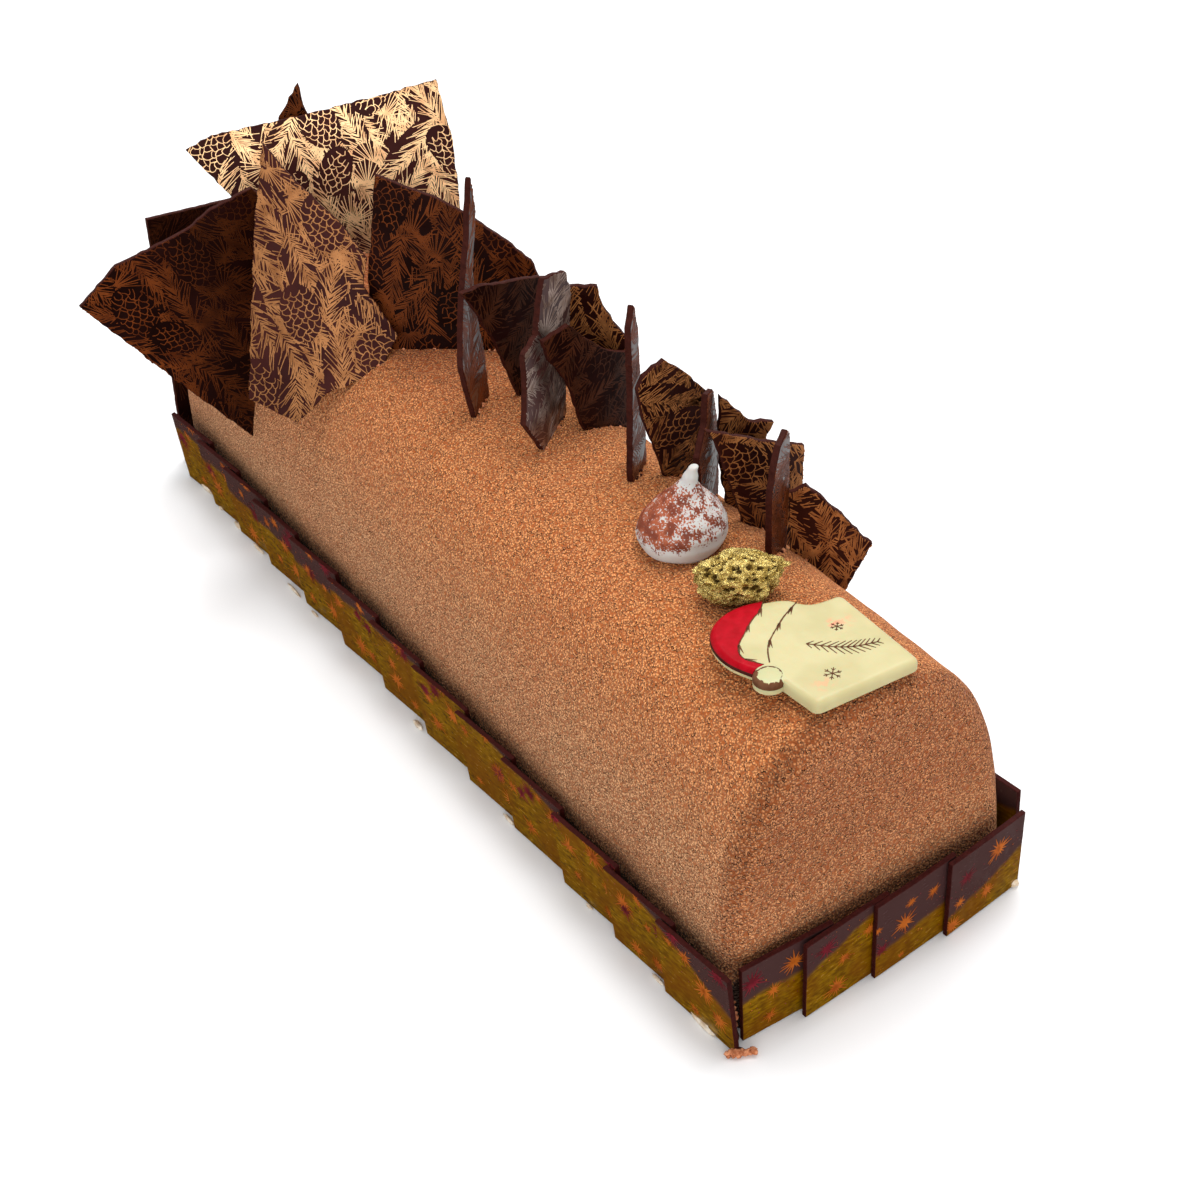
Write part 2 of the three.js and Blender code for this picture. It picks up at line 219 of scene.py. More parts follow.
def fill(sockets, inputs):
    """Links each socket to another node's socket, or gives it a value. Three numbers for a colour
    are a screen colour."""
    for key, value in inputs.items():
        if isinstance(value, bpy.types.NodeSocket):
            tree.links.new(value, sockets[key])
        elif sockets[key].type == "RGBA" and len(value) == 3:
            sockets[key].default_value = colour(*value)
        else:
            sockets[key].default_value = value


def add(kind, inputs=None, **settings):
    """Adds a shader node to the tree in work."""
    made = tree.nodes.new(kind if kind.startswith("Node") else "ShaderNode" + kind)
    for key, value in settings.items():
        setattr(made, key, value)
    fill(made.inputs, inputs or {})
    return made


def math_node(operation, *inputs):
    """One step of arithmetic."""
    return add("Math", dict(enumerate(inputs)), operation=operation).outputs[0]


def times(a, b):
    """One value times another."""
    return math_node("MULTIPLY", a, b)


def mix(share, a, b):
    """Colour a where share is 0, and b where it is 1."""
    return add("Mix", {0: share, 6: a, 7: b}, data_type="RGBA").outputs[2]


def ramp(value, low, high):
    """0 where value is below low, 1 above high, and smooth between."""
    inputs = {"Value": value, "From Min": low, "From Max": high}
    return add("MapRange", inputs, interpolation_type="SMOOTHSTEP").outputs[0]


def xyz(vector):
    """The three parts of a vector."""
    return add("SeparateXYZ", {0: vector}).outputs


# %% The shared groups
def new_group(name, numbers, outputs):
    """An empty node group, which becomes the tree in work. A vector and numbers go in."""
    global tree
    tree = bpy.data.node_groups.new(name, "ShaderNodeTree")
    sockets = [("Vector", "INPUT", "Vector")] + [(label, "INPUT", "Float") for label in numbers]
    for label, way, kind in sockets + [(label, "OUTPUT", kind) for label, kind in outputs]:
        tree.interface.new_socket(label, in_out=way, socket_type="NodeSocket" + kind)
    print("node group", name)
    return tree, add("NodeGroupInput").outputs, add("NodeGroupOutput").inputs


patches, given, out = new_group("patches", ("Scale", "Detail", "Low", "High"),
                                (("Mask", "Float"), ("Value", "Float")))
cloud = add("TexNoise", {key: given[key] for key in ("Vector", "Scale", "Detail")}).outputs[0]
fill(out, {"Mask": ramp(cloud, given["Low"], given["High"]), "Value": cloud})

bumps, given, out = new_group("bumps", ("Scale", "Detail", "Depth"),
                              (("Normal", "Vector"), ("Height", "Float")))
lumps = add("TexNoise", {
    "Vector": given["Vector"], "Scale": given["Scale"], "Detail": given["Detail"],
    "Roughness": 0.55,
}).outputs[0]
relief = add("Bump", {"Height": lumps, "Distance": given["Depth"]}).outputs[0]
fill(out, {"Normal": relief, "Height": lumps})


def cloudy(scale, detail, low, high, at=None):
    """Soft patches: a mask that is 0 below low and 1 above high, and the plain value."""
    inputs = {"Vector": at or place["Object"], "Scale": scale, "Detail": detail}
    return add("Group", inputs | {"Low": low, "High": high}, node_tree=patches).outputs


def bumpy(scale, detail, depth, at=None):
    """A bumpy surface: its normal and its height."""
    inputs = {"Vector": at or place["Object"], "Scale": scale, "Detail": detail, "Depth": depth}
    return add("Group", inputs, node_tree=bumps).outputs


def new_material(name, **sockets):
    """A material with a Principled shader, whose plain values are set on its own sockets. Its
    tree is then the one in work, shader is what goes into the shader, and place is where."""
    global tree, shader, place
    material = bpy.data.materials.new(name)
    material.use_nodes = True
    tree = material.node_tree
    shader = tree.nodes["Principled BSDF"].inputs
    fill(shader, {key.replace("_", " "): value for key, value in sockets.items()})
    place = add("TexCoord").outputs
    print("finish", name)
    return material


def two_toned(name, low, high, drift, relief=None, **sockets):
    """A finish between two tones. drift is the scale, detail, low and high of its patches, and
    relief is the scale, detail and depth of its bumps."""
    material = new_material(name, **sockets)
    fill(shader, {"Base Color": mix(cloudy(*drift)["Mask"], low, high)})
    if relief:
        fill(shader, {"Normal": bumpy(*relief)["Normal"]})
    return material


# %% [markdown]
# The light is that of a product table: a large soft box overhead and a little behind, a wide
# low one in front, and a white room. Chocolate is a mirror, so what stands below the cake counts
# too: a black-brown cloth under the table keeps upright sheets deep and dark, and a white board on
# the far side puts a grey gleam on the sheets that stand edge on. Here the lower part of the room
# is that cloth and that board, and the white floor is left out of mirror rays.

# %% Light
CLOTH, BOARD = (0.10, 0.055, 0.035, 1.0), (1.0, 1.0, 1.0, 1.0)


def soft_box(name, at, aim, size, power):
    """An area light of size (wide, high) at one point that faces another."""
    lamp = bpy.data.lights.new(name, "AREA")
    lamp.shape = "RECTANGLE"
    lamp.size, lamp.size_y = size
    lamp.energy = power
    z = np.array(at) - np.array(aim)
    z /= np.linalg.norm(z)
    x = np.cross([0.01, 0.02, 1], z)
    x /= np.linalg.norm(x)
    posed(name, lamp, (x, np.cross(z, x), z), at)
    print("light", name, "at", at)


soft_box("overhead", (-0.15, 0.35, 1.1), (0, 0, 0.05), (0.8, 0.8), 13.0)
soft_box("front_light", (1.27, -0.68, 0.58), (-0.05, 0, 0.1), (1.1, 0.5), 7.0)

room = bpy.data.worlds.new("room")
room.use_nodes = True
tree = room.node_tree
way = xyz(add("TexCoord").outputs["Generated"])
wall = math_node("MAXIMUM", ramp(way["Z"], -0.32, -0.14), ramp(way["Y"], 0.56, 0.74))
fill(tree.nodes["Background"].inputs, {"Color": mix(wall, CLOTH, BOARD), "Strength": 0.75})
bpy.context.scene.world = room
bpy.context.scene.view_settings.view_transform = "Standard"

# %% Floor
FLOOR_REACH, FLOOR_DROP = 3.0, 0.0002
white_sheet = two_toned("white_sheet", (243, 243, 244), (246, 246, 246), (3.0, 2.0, 0.3, 0.7),
                        Roughness=0.9)
floor_mesh = bpy.data.meshes.new("floor")
corners = np.array([[-1, -1, 0], [1, -1, 0], [1, 1, 0], [-1, 1, 0]]) * FLOOR_REACH
floor_mesh.from_pydata(corners.tolist(), [], [(0, 1, 2, 3)])
floor_mesh.materials.append(white_sheet)
floor = bpy.data.objects.new("floor", floor_mesh)
floor.location.z = -FLOOR_DROP
floor.visible_glossy = False
bpy.context.collection.objects.link(floor)
print("floor", 2 * FLOOR_REACH, "m wide")

# %% [markdown]
# The coat of the log is cocoa butter sprayed on a frozen mousse, which sets as velvet: matt
# granules half a millimetre across. It could be sculpted or displaced, but grains that small read
# the same from a fine bump with painted shade in the hollows between them, and only the slow
# unevenness of the mousse is in the mesh. The top is a warmer tone than the sides, whose paler
# tone is partly the coat's own and partly painted sheen. Painted shade also lies under the shards,
# along the rounding of the front edge and at the foot behind the skirt, and painted light on the
# lower front face.

# %% Velvet coat
velvet = new_material("velvet_coat_with_painted_light_and_shade", Roughness=0.95, Specular_IOR_Level=0.1, Sheen_Weight=0.2,
                      Sheen_Roughness=0.5, Sheen_Tint=(235, 205, 185))
x, y, z = xyz(place["Object"])
# The sides are paler than the top: partly the coat's own tone, partly painted sheen of grazing
# light.
coat = mix(ramp(z, 0.030, 0.074), (240, 182, 132), (252, 168, 102))
# Painted shadow of the shards on the top just in front of them.
painted_shard_shadow = times(ramp(x, 0.02, -0.04), ramp(y, -0.022, -0.004))
coat = mix(times(painted_shard_shadow, 0.7), coat, (184, 100, 48))
front_face = ramp(x, 0.137, 0.143)
# The front face's tone, lighter towards its foot as painted light.
front_tone_painted_light = mix(ramp(z, 0.022, 0.045), (246, 172, 116), (212, 140, 88))
coat = mix(front_face, coat, front_tone_painted_light)
# Painted shade along the rounding of the front edge.
painted_ridge_shade = math_node("SUBTRACT", ramp(x, 0.1375, 0.1405), ramp(x, 0.1422, 0.1442))
coat = mix(times(painted_ridge_shade, 0.3), coat, (140, 84, 50))
coat = mix(times(cloudy(28.0, 2.0, 0.35, 0.65)["Mask"], 0.25), coat, (243, 160, 104))

ruffle = add("TexNoise", {"Vector": place["Object"], "Scale": 800.0, "Detail": 2.0})
shaken = add("VectorMath", {0: ruffle.outputs["Color"], 1: (0.0004, 0.0004, 0.0004)},
             operation="MULTIPLY").outputs[0]
shaken = add("VectorMath", {0: place["Object"], 1: shaken}, operation="ADD").outputs[0]
grains = add("TexVoronoi", {"Vector": shaken, "Scale": 1700.0}, feature="F1")
grain = ramp(grains.outputs["Distance"], 0.75, 0.15)
# Painted shade of the gap behind the panels: the hollows darken towards the foot, less on the front
# face.
painted_skirt_gap_shade = times(ramp(z, 0.0230, 0.0175), math_node("MULTIPLY_ADD", front_face, -0.6, 1.0))
# The hollows between granules are darker as painted shade; the granules keep the coat's colour.
painted_hollow_shade = mix(painted_skirt_gap_shade, (166, 135, 111), (116, 81, 58))
coat = add("Mix", {0: 1.0, 6: coat, 7: mix(grain, painted_hollow_shade, (255, 255, 255))}, data_type="RGBA",
           blend_type="MULTIPLY").outputs[2]

# Painted shade at the foot behind the skirt, partly also a foot that the spray missed: dark below a
# ragged line that lies lower on the front face, with the granules holding out a little lower.
level = math_node("SUBTRACT", z, times(cloudy(600.0, 3.0, 0.3, 0.7)["Value"], 0.004))
level = math_node("ADD", level, times(front_face, 0.0022))
level = math_node("ADD", level, times(grain, 0.0018))
coat = mix(ramp(level, 0.0167, 0.0152), coat, (46, 24, 16))
pile = bumpy(1150.0, 1.0, 0.0009, shaken)
relief = add("Bump", {"Height": grain, "Distance": 0.0006, "Normal": pile["Normal"]})
fill(shader, {"Base Color": coat, "Normal": relief.outputs[0]})

# %% Log
LOG_LENGTH, LOG_WIDTH, LOG_HEIGHT = 289.0, 80.0, 75.8
LOG_ROUNDNESS = 2.8
LOG_FILLET = 6.5
END_MIDDLE = np.array([0, 36.0])
MIDDLE_HEIGHT = 30.0  # of the line that the coat swells away from
DRAWN_IN = 0.12
CELL = 1.5


def arch(count):
    """Points of the arch, evenly spaced, and the directions straight out of it. The arch is half
    a superellipse: (y / half width) ^ 2.8 + (z / height) ^ 2.8 = 1."""
    angle = np.linspace(0, math.pi, 6000)
    power = 2 / LOG_ROUNDNESS
    y = np.sign(np.cos(angle)) * np.abs(np.cos(angle)) ** power * LOG_WIDTH / 2
    z = np.abs(np.sin(angle)) ** power * LOG_HEIGHT
    line = even_line(np.column_stack([y, z]), count)
    return line, -left_of(unit_rows(np.gradient(line, axis=0)))


arch_line, arch_out = arch(136)
under_y = np.linspace(-1, 1, 27)[1:-1]


def log_ring(x, inset, shrink=1.0):
    """One closed ring: the arch drawn inwards by inset, and the flat underside. shrink below 1
    draws it towards the middle of the end face."""
    line = arch_line - arch_out * inset
    line[:, 1] = np.maximum(line[:, 1], 0)
    under = np.stack([under_y * (LOG_WIDTH / 2 - inset), np.zeros(len(under_y))], -1)
    ring = np.concatenate([line, under])
    ring = END_MIDDLE + (ring - END_MIDDLE) * shrink
    return np.column_stack([np.full(len(ring), x), ring])


half_log = LOG_LENGTH / 2
face_rings = [log_ring(half_log, LOG_FILLET, s) for s in np.linspace(0.04, 1, 26)]
fillet_rings = [
    log_ring(half_log - LOG_FILLET * (1 - math.sin(a)), LOG_FILLET * (1 - math.cos(a)))
    for a in np.linspace(math.pi / 2, 0, 8)[1:]
]
front_half = np.stack(face_rings + fillet_rings)
barrel_x = np.linspace(-half_log + LOG_FILLET, half_log - LOG_FILLET, int(LOG_LENGTH / CELL))
barrel = np.stack([log_ring(x, 0) for x in barrel_x[1:-1]])
rings = np.concatenate([front_half * [-1, 1, 1], barrel, front_half[::-1]])
soft = rumple(rings, 38, 5) * 0.25 + rumple(rings, 11, 6) * 0.1
outwards = (rings - [0, 0, MIDDLE_HEIGHT]) * [0, 1, 1]
outwards /= np.maximum(np.linalg.norm(outwards, axis=-1, keepdims=True), 1)
rings += outwards * (soft * ease(rings[..., 2], 0, 6))[..., None] - outwards * DRAWN_IN
points, quads, fans = skin(rings, [-half_log, *END_MIDDLE], [half_log, *END_MIDDLE])
log = make_piece("coated_log", points, [quads, fans], [velvet], sharp=60)
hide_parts("log")
print("log faces", len(quads) + len(fans))

# %% [markdown]
# All the decorations are thin tempered chocolate. A sheet is poured on a printed film, and what
# the film leaves on it is coloured cocoa butter: needles and cones in copper on the shards, and
# stars on the skirt. Tempered chocolate is dark and glossy, duller where it was broken. Paint in
# a shader would need a drawn image, so the print is laid on as thin flat strokes, each a closed
# box a few hundredths of a millimetre high.

# %% Chocolate and print finishes
def chocolate_finish(name, dark, light, rough, gloss):
    """Dark chocolate whose tone and gloss drift in soft patches."""
    material = new_material(name, Specular_IOR_Level=gloss)
    tone = cloudy(60.0, 4.0, 0.35, 0.7)
    fill(shader, {
        "Base Color": mix(tone["Mask"], dark, light),
        "Roughness": math_node("MULTIPLY_ADD", tone["Value"], 0.25, rough - 0.1),
        "Normal": bumpy(70.0, 2.0, 0.0012)["Normal"],
    })
    return material


def broken_finish(name, dark, light):
    """The rough, paler chocolate of a broken or cut edge."""
    material = new_material(name, Specular_IOR_Level=0.05, Roughness=0.55)
    grit = bumpy(900.0, 3.0, 0.0004)
    fill(shader, {"Base Color": mix(grit["Height"], dark, light), "Normal": grit["Normal"]})
    return material


def print_finish(name, worn, bright, metal, rough, rim, fade=0.0):
    """Coloured cocoa butter with a lustre, worn thin in patches. rim is its tint when it is seen
    from the side. fade is how far a painted shadow darkens it across the sheet, which
    the sheet's UV gives."""
    material = new_material(name, Metallic=metal, Roughness=rough, Specular_Tint=rim)
    lustre = mix(cloudy(220.0, 4.0, 0.3, 0.62)["Mask"], worn, bright)
    # A painted shadow: the print darkens towards one side of its sheet.
    if fade:
        share = times(ramp(xyz(place["UV"])["X"], 0.22, 0.60), fade)
        lustre = mix(share, lustre, (22, 8, 4))
    fill(shader, {"Base Color": lustre})
    return material


sheet_chocolate = chocolate_finish("sheet_chocolate", (32, 9, 6), (46, 15, 10), 0.28, 0.12)
# A copy of the chocolate, darker as painted shade for the sheets that stand in shade.
chocolate_painted_in_shade = chocolate_finish("chocolate_painted_in_shade", (22, 6, 4), (34, 10, 7), 0.3, 0.05)
# A copy of the chocolate, lighter as painted light for the two sheets in the most light.
chocolate_painted_in_light = chocolate_finish("chocolate_painted_in_light", (50, 20, 18), (64, 28, 24), 0.4, 0.05)
gleaming_chocolate = chocolate_finish("gleaming_chocolate", (44, 16, 12), (60, 26, 20), 0.24, 1.0)
soft_chocolate = chocolate_finish("soft_chocolate", (50, 20, 16), (68, 30, 24), 0.3, 0.35)
broken_edge = broken_finish("broken_edge", (34, 12, 9), (72, 31, 23))
# Copies of the one print, lighter as painted light for the sheets in the most light: brightest on
# the middle sheet, less on the front one and on the small shards.
print_painted_in_bright_light = print_finish("print_painted_in_bright_light", (222, 168, 120), (250, 206, 154), 1.0, 0.40,
                          (245, 225, 205))
print_painted_in_half_light = print_finish("print_painted_in_half_light", (126, 80, 46), (154, 104, 64), 0.7, 0.40,
                           (225, 195, 165))
print_painted_in_medium_light = print_finish("print_painted_in_medium_light", (128, 76, 40), (172, 112, 64), 0.25, 0.4,
                            (220, 170, 130))
copper_print = print_finish("copper_print", (80, 36, 14), (114, 56, 24), 0.3, 0.36,
                            (200, 150, 120))
# A copy of the print that darkens across its sheet as a painted shadow.
print_with_painted_shadow = print_finish("print_with_painted_shadow", (92, 40, 15), (130, 64, 26), 0.3, 0.36,
                            (200, 150, 120), fade=0.7)
# A copy of the print, darker as painted shade.
print_painted_in_shade = print_finish("print_painted_in_shade", (40, 16, 6), (64, 29, 12), 0.05, 0.5, (160, 120, 95))
# A copy of the print, grey as a painted reflection.
print_with_painted_reflection = print_finish("print_with_painted_reflection", (116, 92, 80), (176, 156, 146), 0.9, 0.28,
                              (235, 225, 215))

# %% Strokes of print
FOOT, TOP = -0.05, 0.045  # a stroke's box, below and above the sheet's face
TESTED = 24  # points at which a stroke is tested


def inside(points, outline):
    """Whether each point is within the closed outline: a ray to its right crosses an odd number
    of edges."""
    a, b = outline, np.roll(outline, -1, axis=0)
    x, y = points[..., 0, None], points[..., 1, None]
    between = (a[:, 1] > y) != (b[:, 1] > y)
    rise = np.where(b[:, 1] == a[:, 1], 1e-9, b[:, 1] - a[:, 1])
    crossing = a[:, 0] + (y - a[:, 1]) / rise * (b[:, 0] - a[:, 0])
    return (between & (x < crossing)).sum(-1) % 2 == 1


def as_strokes(start, end, wide, narrow):
    """Strokes as rows: start x, y, end x, y, width at the start, width at the end."""
    start, end = np.broadcast_arrays(start, end)
    widths = [np.broadcast_to(width, len(end)) for width in (wide, narrow)]
    return np.column_stack([start, end, *widths])


def keep_inside(strokes, outline, holes=()):
    """Shortens strokes to what lies within the outline and outside every hole, which is an oval.
    Of each stroke the first unbroken run of tested points is kept."""
    t = np.linspace(0, 1, TESTED)
    a, b = strokes[:, None, 0:2], strokes[:, None, 2:4]
    path = a + (b - a) * t[:, None]
    good = inside(path, outline)
    for middle, across, half_width, half_height in holes:
        off = path - middle
        u, v = off @ across, off @ left_of(across)
        good &= (u / half_width) ** 2 + (v / half_height) ** 2 > 1
    first = np.argmax(good, axis=1)
    after = good | (np.arange(TESTED) < first[:, None])
    last = np.where(after.all(axis=1), TESTED - 1, np.argmin(after, axis=1) - 1)
    row = np.arange(len(strokes))
    width = strokes[:, 4:5] + (strokes[:, 5:6] - strokes[:, 4:5]) * t
    made = np.column_stack([path[row, first], path[row, last], width[row, first], width[row, last]])
    return made[good.any(axis=1) & (last - first > 1)]


def stroke_boxes(strokes, top=TOP):
    """Strokes as closed boxes, (N, 8, 3): four corners at the foot, then four at the top."""
    a, b = strokes[:, 0:2], strokes[:, 2:4]
    across = left_of(b - a) / np.maximum(np.linalg.norm(b - a, axis=1, keepdims=True), 1e-6)
    wa, wb = strokes[:, 4:5] / 2 * across, strokes[:, 5:6] / 2 * across
    flat = np.stack([a - wa, b - wb, b + wb, a + wa], 1)
    return np.concatenate([at_height(flat, FOOT), at_height(flat, top)], 1)


BOX = np.array([[3, 2, 1, 0], [4, 5, 6, 7], [0, 1, 5, 4], [1, 2, 6, 5], [2, 3, 7, 6], [3, 0, 4, 7]])


def box_faces(count, start):
    """The six quads of each of count boxes whose points begin at start."""
    return (BOX[None] + (np.arange(count) * 8 + start)[:, None, None]).reshape(-1, 4)


# %% [markdown]
# A sheet of chocolate has a front, a back and a broken edge. Its surface is a polar grid: rings
# that are its outline drawn in towards one middle point, so any outline that this point can see
# all of is covered with no hand-made topology. The edge of a broken piece wanders by a few tenths
# of a millimetre between its corners.

# %% Sheets
EDGE_STEP = 1.6
SHEET_RINGS = np.array([0.1, 0.2, 0.32, 0.44, 0.56, 0.68, 0.79, 0.9])


def seeing_middle(outline):
    """The point that lies furthest inside every edge line of the outline."""
    low, high = outline.min(0), outline.max(0)
    grid = np.stack(np.meshgrid(*[np.linspace(low[i], high[i], 80) for i in (0, 1)]), -1)
    grid = grid.reshape(-1, 2)
    along = unit_rows(np.roll(outline, -1, axis=0) - outline)
    off = grid[:, None] - outline
    depth = along[:, 0] * off[..., 1] - along[:, 1] * off[..., 0]
    return grid[np.argmax((depth * turning(outline)).min(1))]


def rough_edge(outline, step, wander, draw):
    """The outline with points every step, each moved by up to wander. Corners hardly move."""
    parts = []
    for a, b in zip(outline, np.roll(outline, -1, axis=0)):
        length = np.linalg.norm(b - a)
        count = max(2, round(length / step))
        t = np.arange(count)[:, None] / count
        calm = np.sqrt(np.sin(math.pi * t))
        across = left_of(b - a) / length
        parts.append(a + (b - a) * t + across * calm * draw.uniform(-wander, wander, (count, 1)))
    return np.concatenate(parts)


def sheet_skin(edge, thick, bevel):
    """A flat sheet as rings of (across, up, out): out through the front, round the edge and in
    through the back. The rim is drawn in by bevel at both faces."""
    face, middle = thick / 2, seeing_middle(edge)
    drawn_in = 1 - bevel / np.linalg.norm(edge - middle, axis=1).mean()
    rim = [(drawn_in, face), (1, face - bevel), (1, bevel - face), (drawn_in, -face)]
    rings = [(s, face) for s in SHEET_RINGS] + rim + [(s, -face) for s in SHEET_RINGS[::-1]]
    flat = np.stack([at_height(middle + (edge - middle) * s, out) for s, out in rings])
    points, quads, fans = skin(flat, [*middle, face], [*middle, -face])
    quads, fans = quads[:, ::-1], fans[:, ::-1]
    row = np.arange(len(quads)) // len(edge) - len(SHEET_RINGS)
    is_edge = (row >= 0) & (row < len(rim) - 1)
    return points, quads[~is_edge], fans, quads[is_edge]


def printed_sheet(name, edge, thick, bevel, put, materials, strokes, uv):
    """A sheet with its print in one piece. put sets (across, up, out) points in the model, and
    uv gives their place on the sheet. strokes is a list of (material number, strokes)."""
    points, faces, fans, rim = sheet_skin(edge, thick, bevel)
    parts, paint = [faces, fans, rim], [0, 0, 1]
    for number, rows in strokes:
        boxes = stroke_boxes(rows).reshape(-1, 3) + [0, 0, thick / 2]
        parts.append(box_faces(len(rows), len(points)))
        paint.append(number)
        points = np.concatenate([points, boxes])
    return make_piece(name, put(points), parts, materials, paint, 30, uv(points))


# %% [markdown]
# The skirt. Its panels are cut squares with crisp edges, standing like shingles round the log.
# Their film left copper stars of uneven rays, faint crimson ones and specks. The lower part of each
# panel is a bronze tone that is a painted reflection of a gold board, and the upper part a
# chocolate tone with a painted grey reflection. The stars are strokes that taper to nothing. The
# painted reflection ends at a slanting line of its own on each panel, so the panel's UV holds the
# height above that line.

# %% Skirt finishes
panel_chocolate = new_material("panel_chocolate", Specular_IOR_Level=0.22)
brushed = add("Mapping", {
    "Vector": place["Object"], "Rotation": (0.12, 0.12, 0.0), "Scale": (0.45, 0.45, 1.4),
}, vector_type="POINT").outputs[0]
drift = cloudy(75.0, 4.0, 0.38, 0.62)
fine = cloudy(1000.0, 4.0, 0.34, 0.66, brushed)
# Painted reflection of a gold board on the lower part of each panel, in bronze streaks; above its
# line a chocolate tone with a painted grey reflection.
over_line = math_node("ADD", xyz(place["UV"])["Y"],
                      math_node("MULTIPLY_ADD", drift["Value"], 0.24, -0.12))
painted_board_reflection = mix(fine["Mask"], (88, 58, 0), (134, 96, 0))
painted_board_reflection = mix(times(drift["Mask"], 0.65), painted_board_reflection, (108, 58, 0))
fill(shader, {
    "Base Color": mix(ramp(over_line, 0.05, -0.04), (66, 43, 42), painted_board_reflection),
    "Roughness": math_node("MULTIPLY_ADD", fine["Value"], 0.2, 0.14),
    "Normal": bumpy(90.0, 2.0, 0.0006)["Normal"],
})
cut_edge = broken_finish("cut_edge", (34, 10, 10), (70, 24, 20))
star_print = print_finish("star_print", (152, 70, 14), (194, 102, 30), 0.2, 0.4, (190, 120, 60))
crimson_print = print_finish("crimson_print", (88, 22, 30), (122, 28, 42), 0.2, 0.4,
                             (170, 80, 80))
panel_finish = [panel_chocolate, cut_edge, star_print, crimson_print]


# %% Stars
def star(at, size, rays, wide, draw):
    """Rays from one point: evenly spread angles that are moved a little, of uneven length."""
    angle = (np.arange(rays) + draw.uniform(-0.3, 0.3, rays)) * 2 * math.pi / rays
    angle += draw.uniform(0, 2 * math.pi)
    reach = size * draw.uniform(0.45, 1, rays)
    return as_strokes(at, at + unit(angle) * reach[:, None], wide, 0.06)


def star_print_rows(edge, draw, copper_stars, crimson_stars, line):
    """The stars and specks of one panel, cut off at its edge. A star is its place across and up,
    from 0 to 1, and its size. The crimson specks lie thickest round the end line of the painted
    reflection."""
    low, high = edge.min(0), edge.max(0)
    copper, crimson = [], []
    for *spot, size in copper_stars:
        rays = int(draw.integers(13, 19))
        copper.append(star(low + spot * (high - low), size, rays, size * 0.15, draw))
    for *spot, size in crimson_stars:
        crimson.append(star(low + spot * (high - low), size, 17, size * 0.14, draw))
    for kind, count in ((copper, 14), (crimson, 44)):
        spot = draw.uniform(0, 1, (count, 2))
        spot[:, 1] = line + draw.normal(0, 0.2, count)
        speck = low + spot * (high - low)
        size = draw.uniform(0.1, 0.36, count)
        kind.append(as_strokes(speck, speck + size[:, None] * [0.8, 0.6], size, size * 0.7))
    return keep_inside(np.concatenate(crimson), edge), keep_inside(np.concatenate(copper), edge)


def scattered_stars(draw):
    """Five copper stars and two crimson ones, loosely spread."""
    spots = np.array([[0.24, 0.72], [0.74, 0.62], [0.36, 0.27], [0.8, 0.18], [0.52, 0.95]])
    spots = spots + draw.uniform(-0.14, 0.14, spots.shape)
    sizes = draw.permutation([4.8, 3.9, 3.2, 2.5, 2.0])
    red = np.column_stack([draw.uniform(0.05, 0.95, 2), draw.uniform(0.55, 1, 2),
                           draw.uniform(3.2, 4.8, 2)])
    return np.column_stack([spots, sizes]), red


# %% Panels
PANEL_SIDE, PANEL_THICK = 24.0, 1.3
LEFT_STARTS = [-141, -121.5, -102.5, -81.5, -57.5, -33.5, -9.5, 14, 36.5, 58.5, 82, 104, 124.5]
RIGHT_STARTS = [-143.5, -121, -99, -76.5, -54, -31.5, -9, 13, 35, 57, 79, 101, 123]
# each front panel: its start, how far out it stands, its yaw and its lean
FRONT = [(-38.8, 146.5, -2.5, 3), (-24, 148.5, 3, 3), (-5, 148.9, 4, 3), (15.8, 148.8, 6, 3)]
# where the painted reflection ends on each panel: its height at the panel's middle, and its slope
LEFT_ENDS = [(0.8, 0), (0.72, -0.1), (0.63, -0.1), (0.62, -0.1), (0.62, -0.1), (0.82, -0.1),
             (0.93, -0.1), (1.08, 0), (0.98, -0.15), (0.96, -0.15), (1.12, 0), (0.98, -0.35),
             (0.76, -0.5)]
FRONT_ENDS = [(0.55, 0.05), (0.76, 0.4), (0.38, 0.12), (0.40, 0.3)]
FRONT_STARS = [
    [(0.34, 0.50, 2.8), (0.30, 0.17, 2.4), (0.57, 0.75, 4.2)],
    [(0.46, 0.51, 2.5), (0.37, 0.16, 4.4), (0.76, 0.68, 2.7)],
    [(0.36, 0.53, 4.7), (0.43, 0.77, 2.0), (0.72, 0.71, 2.8), (0.02, 0.67, 1.8), (0.33, 0.09, 1.2)],
    [(0.65, 0.75, 4.8), (0.53, 0.26, 3.2), (0.15, 0.375, 2.3), (0.07, 0.105, 4.2)],
]
FRONT_CRIMSON = [(0.11, 0.77, 5.2), (0.24, 0.80, 4.0), (0.08, 0.36, 3.0), (0.23, 0.67, 3.2)]


def uneven(i, seed):
    """A repeatable value from -1 to 1 for the i-th of a set."""
    wave = math.sin(12.9898 * (i + 1) + 78.233 * seed) * 43758.5453
    return 2 * (wave - math.floor(wave)) - 1


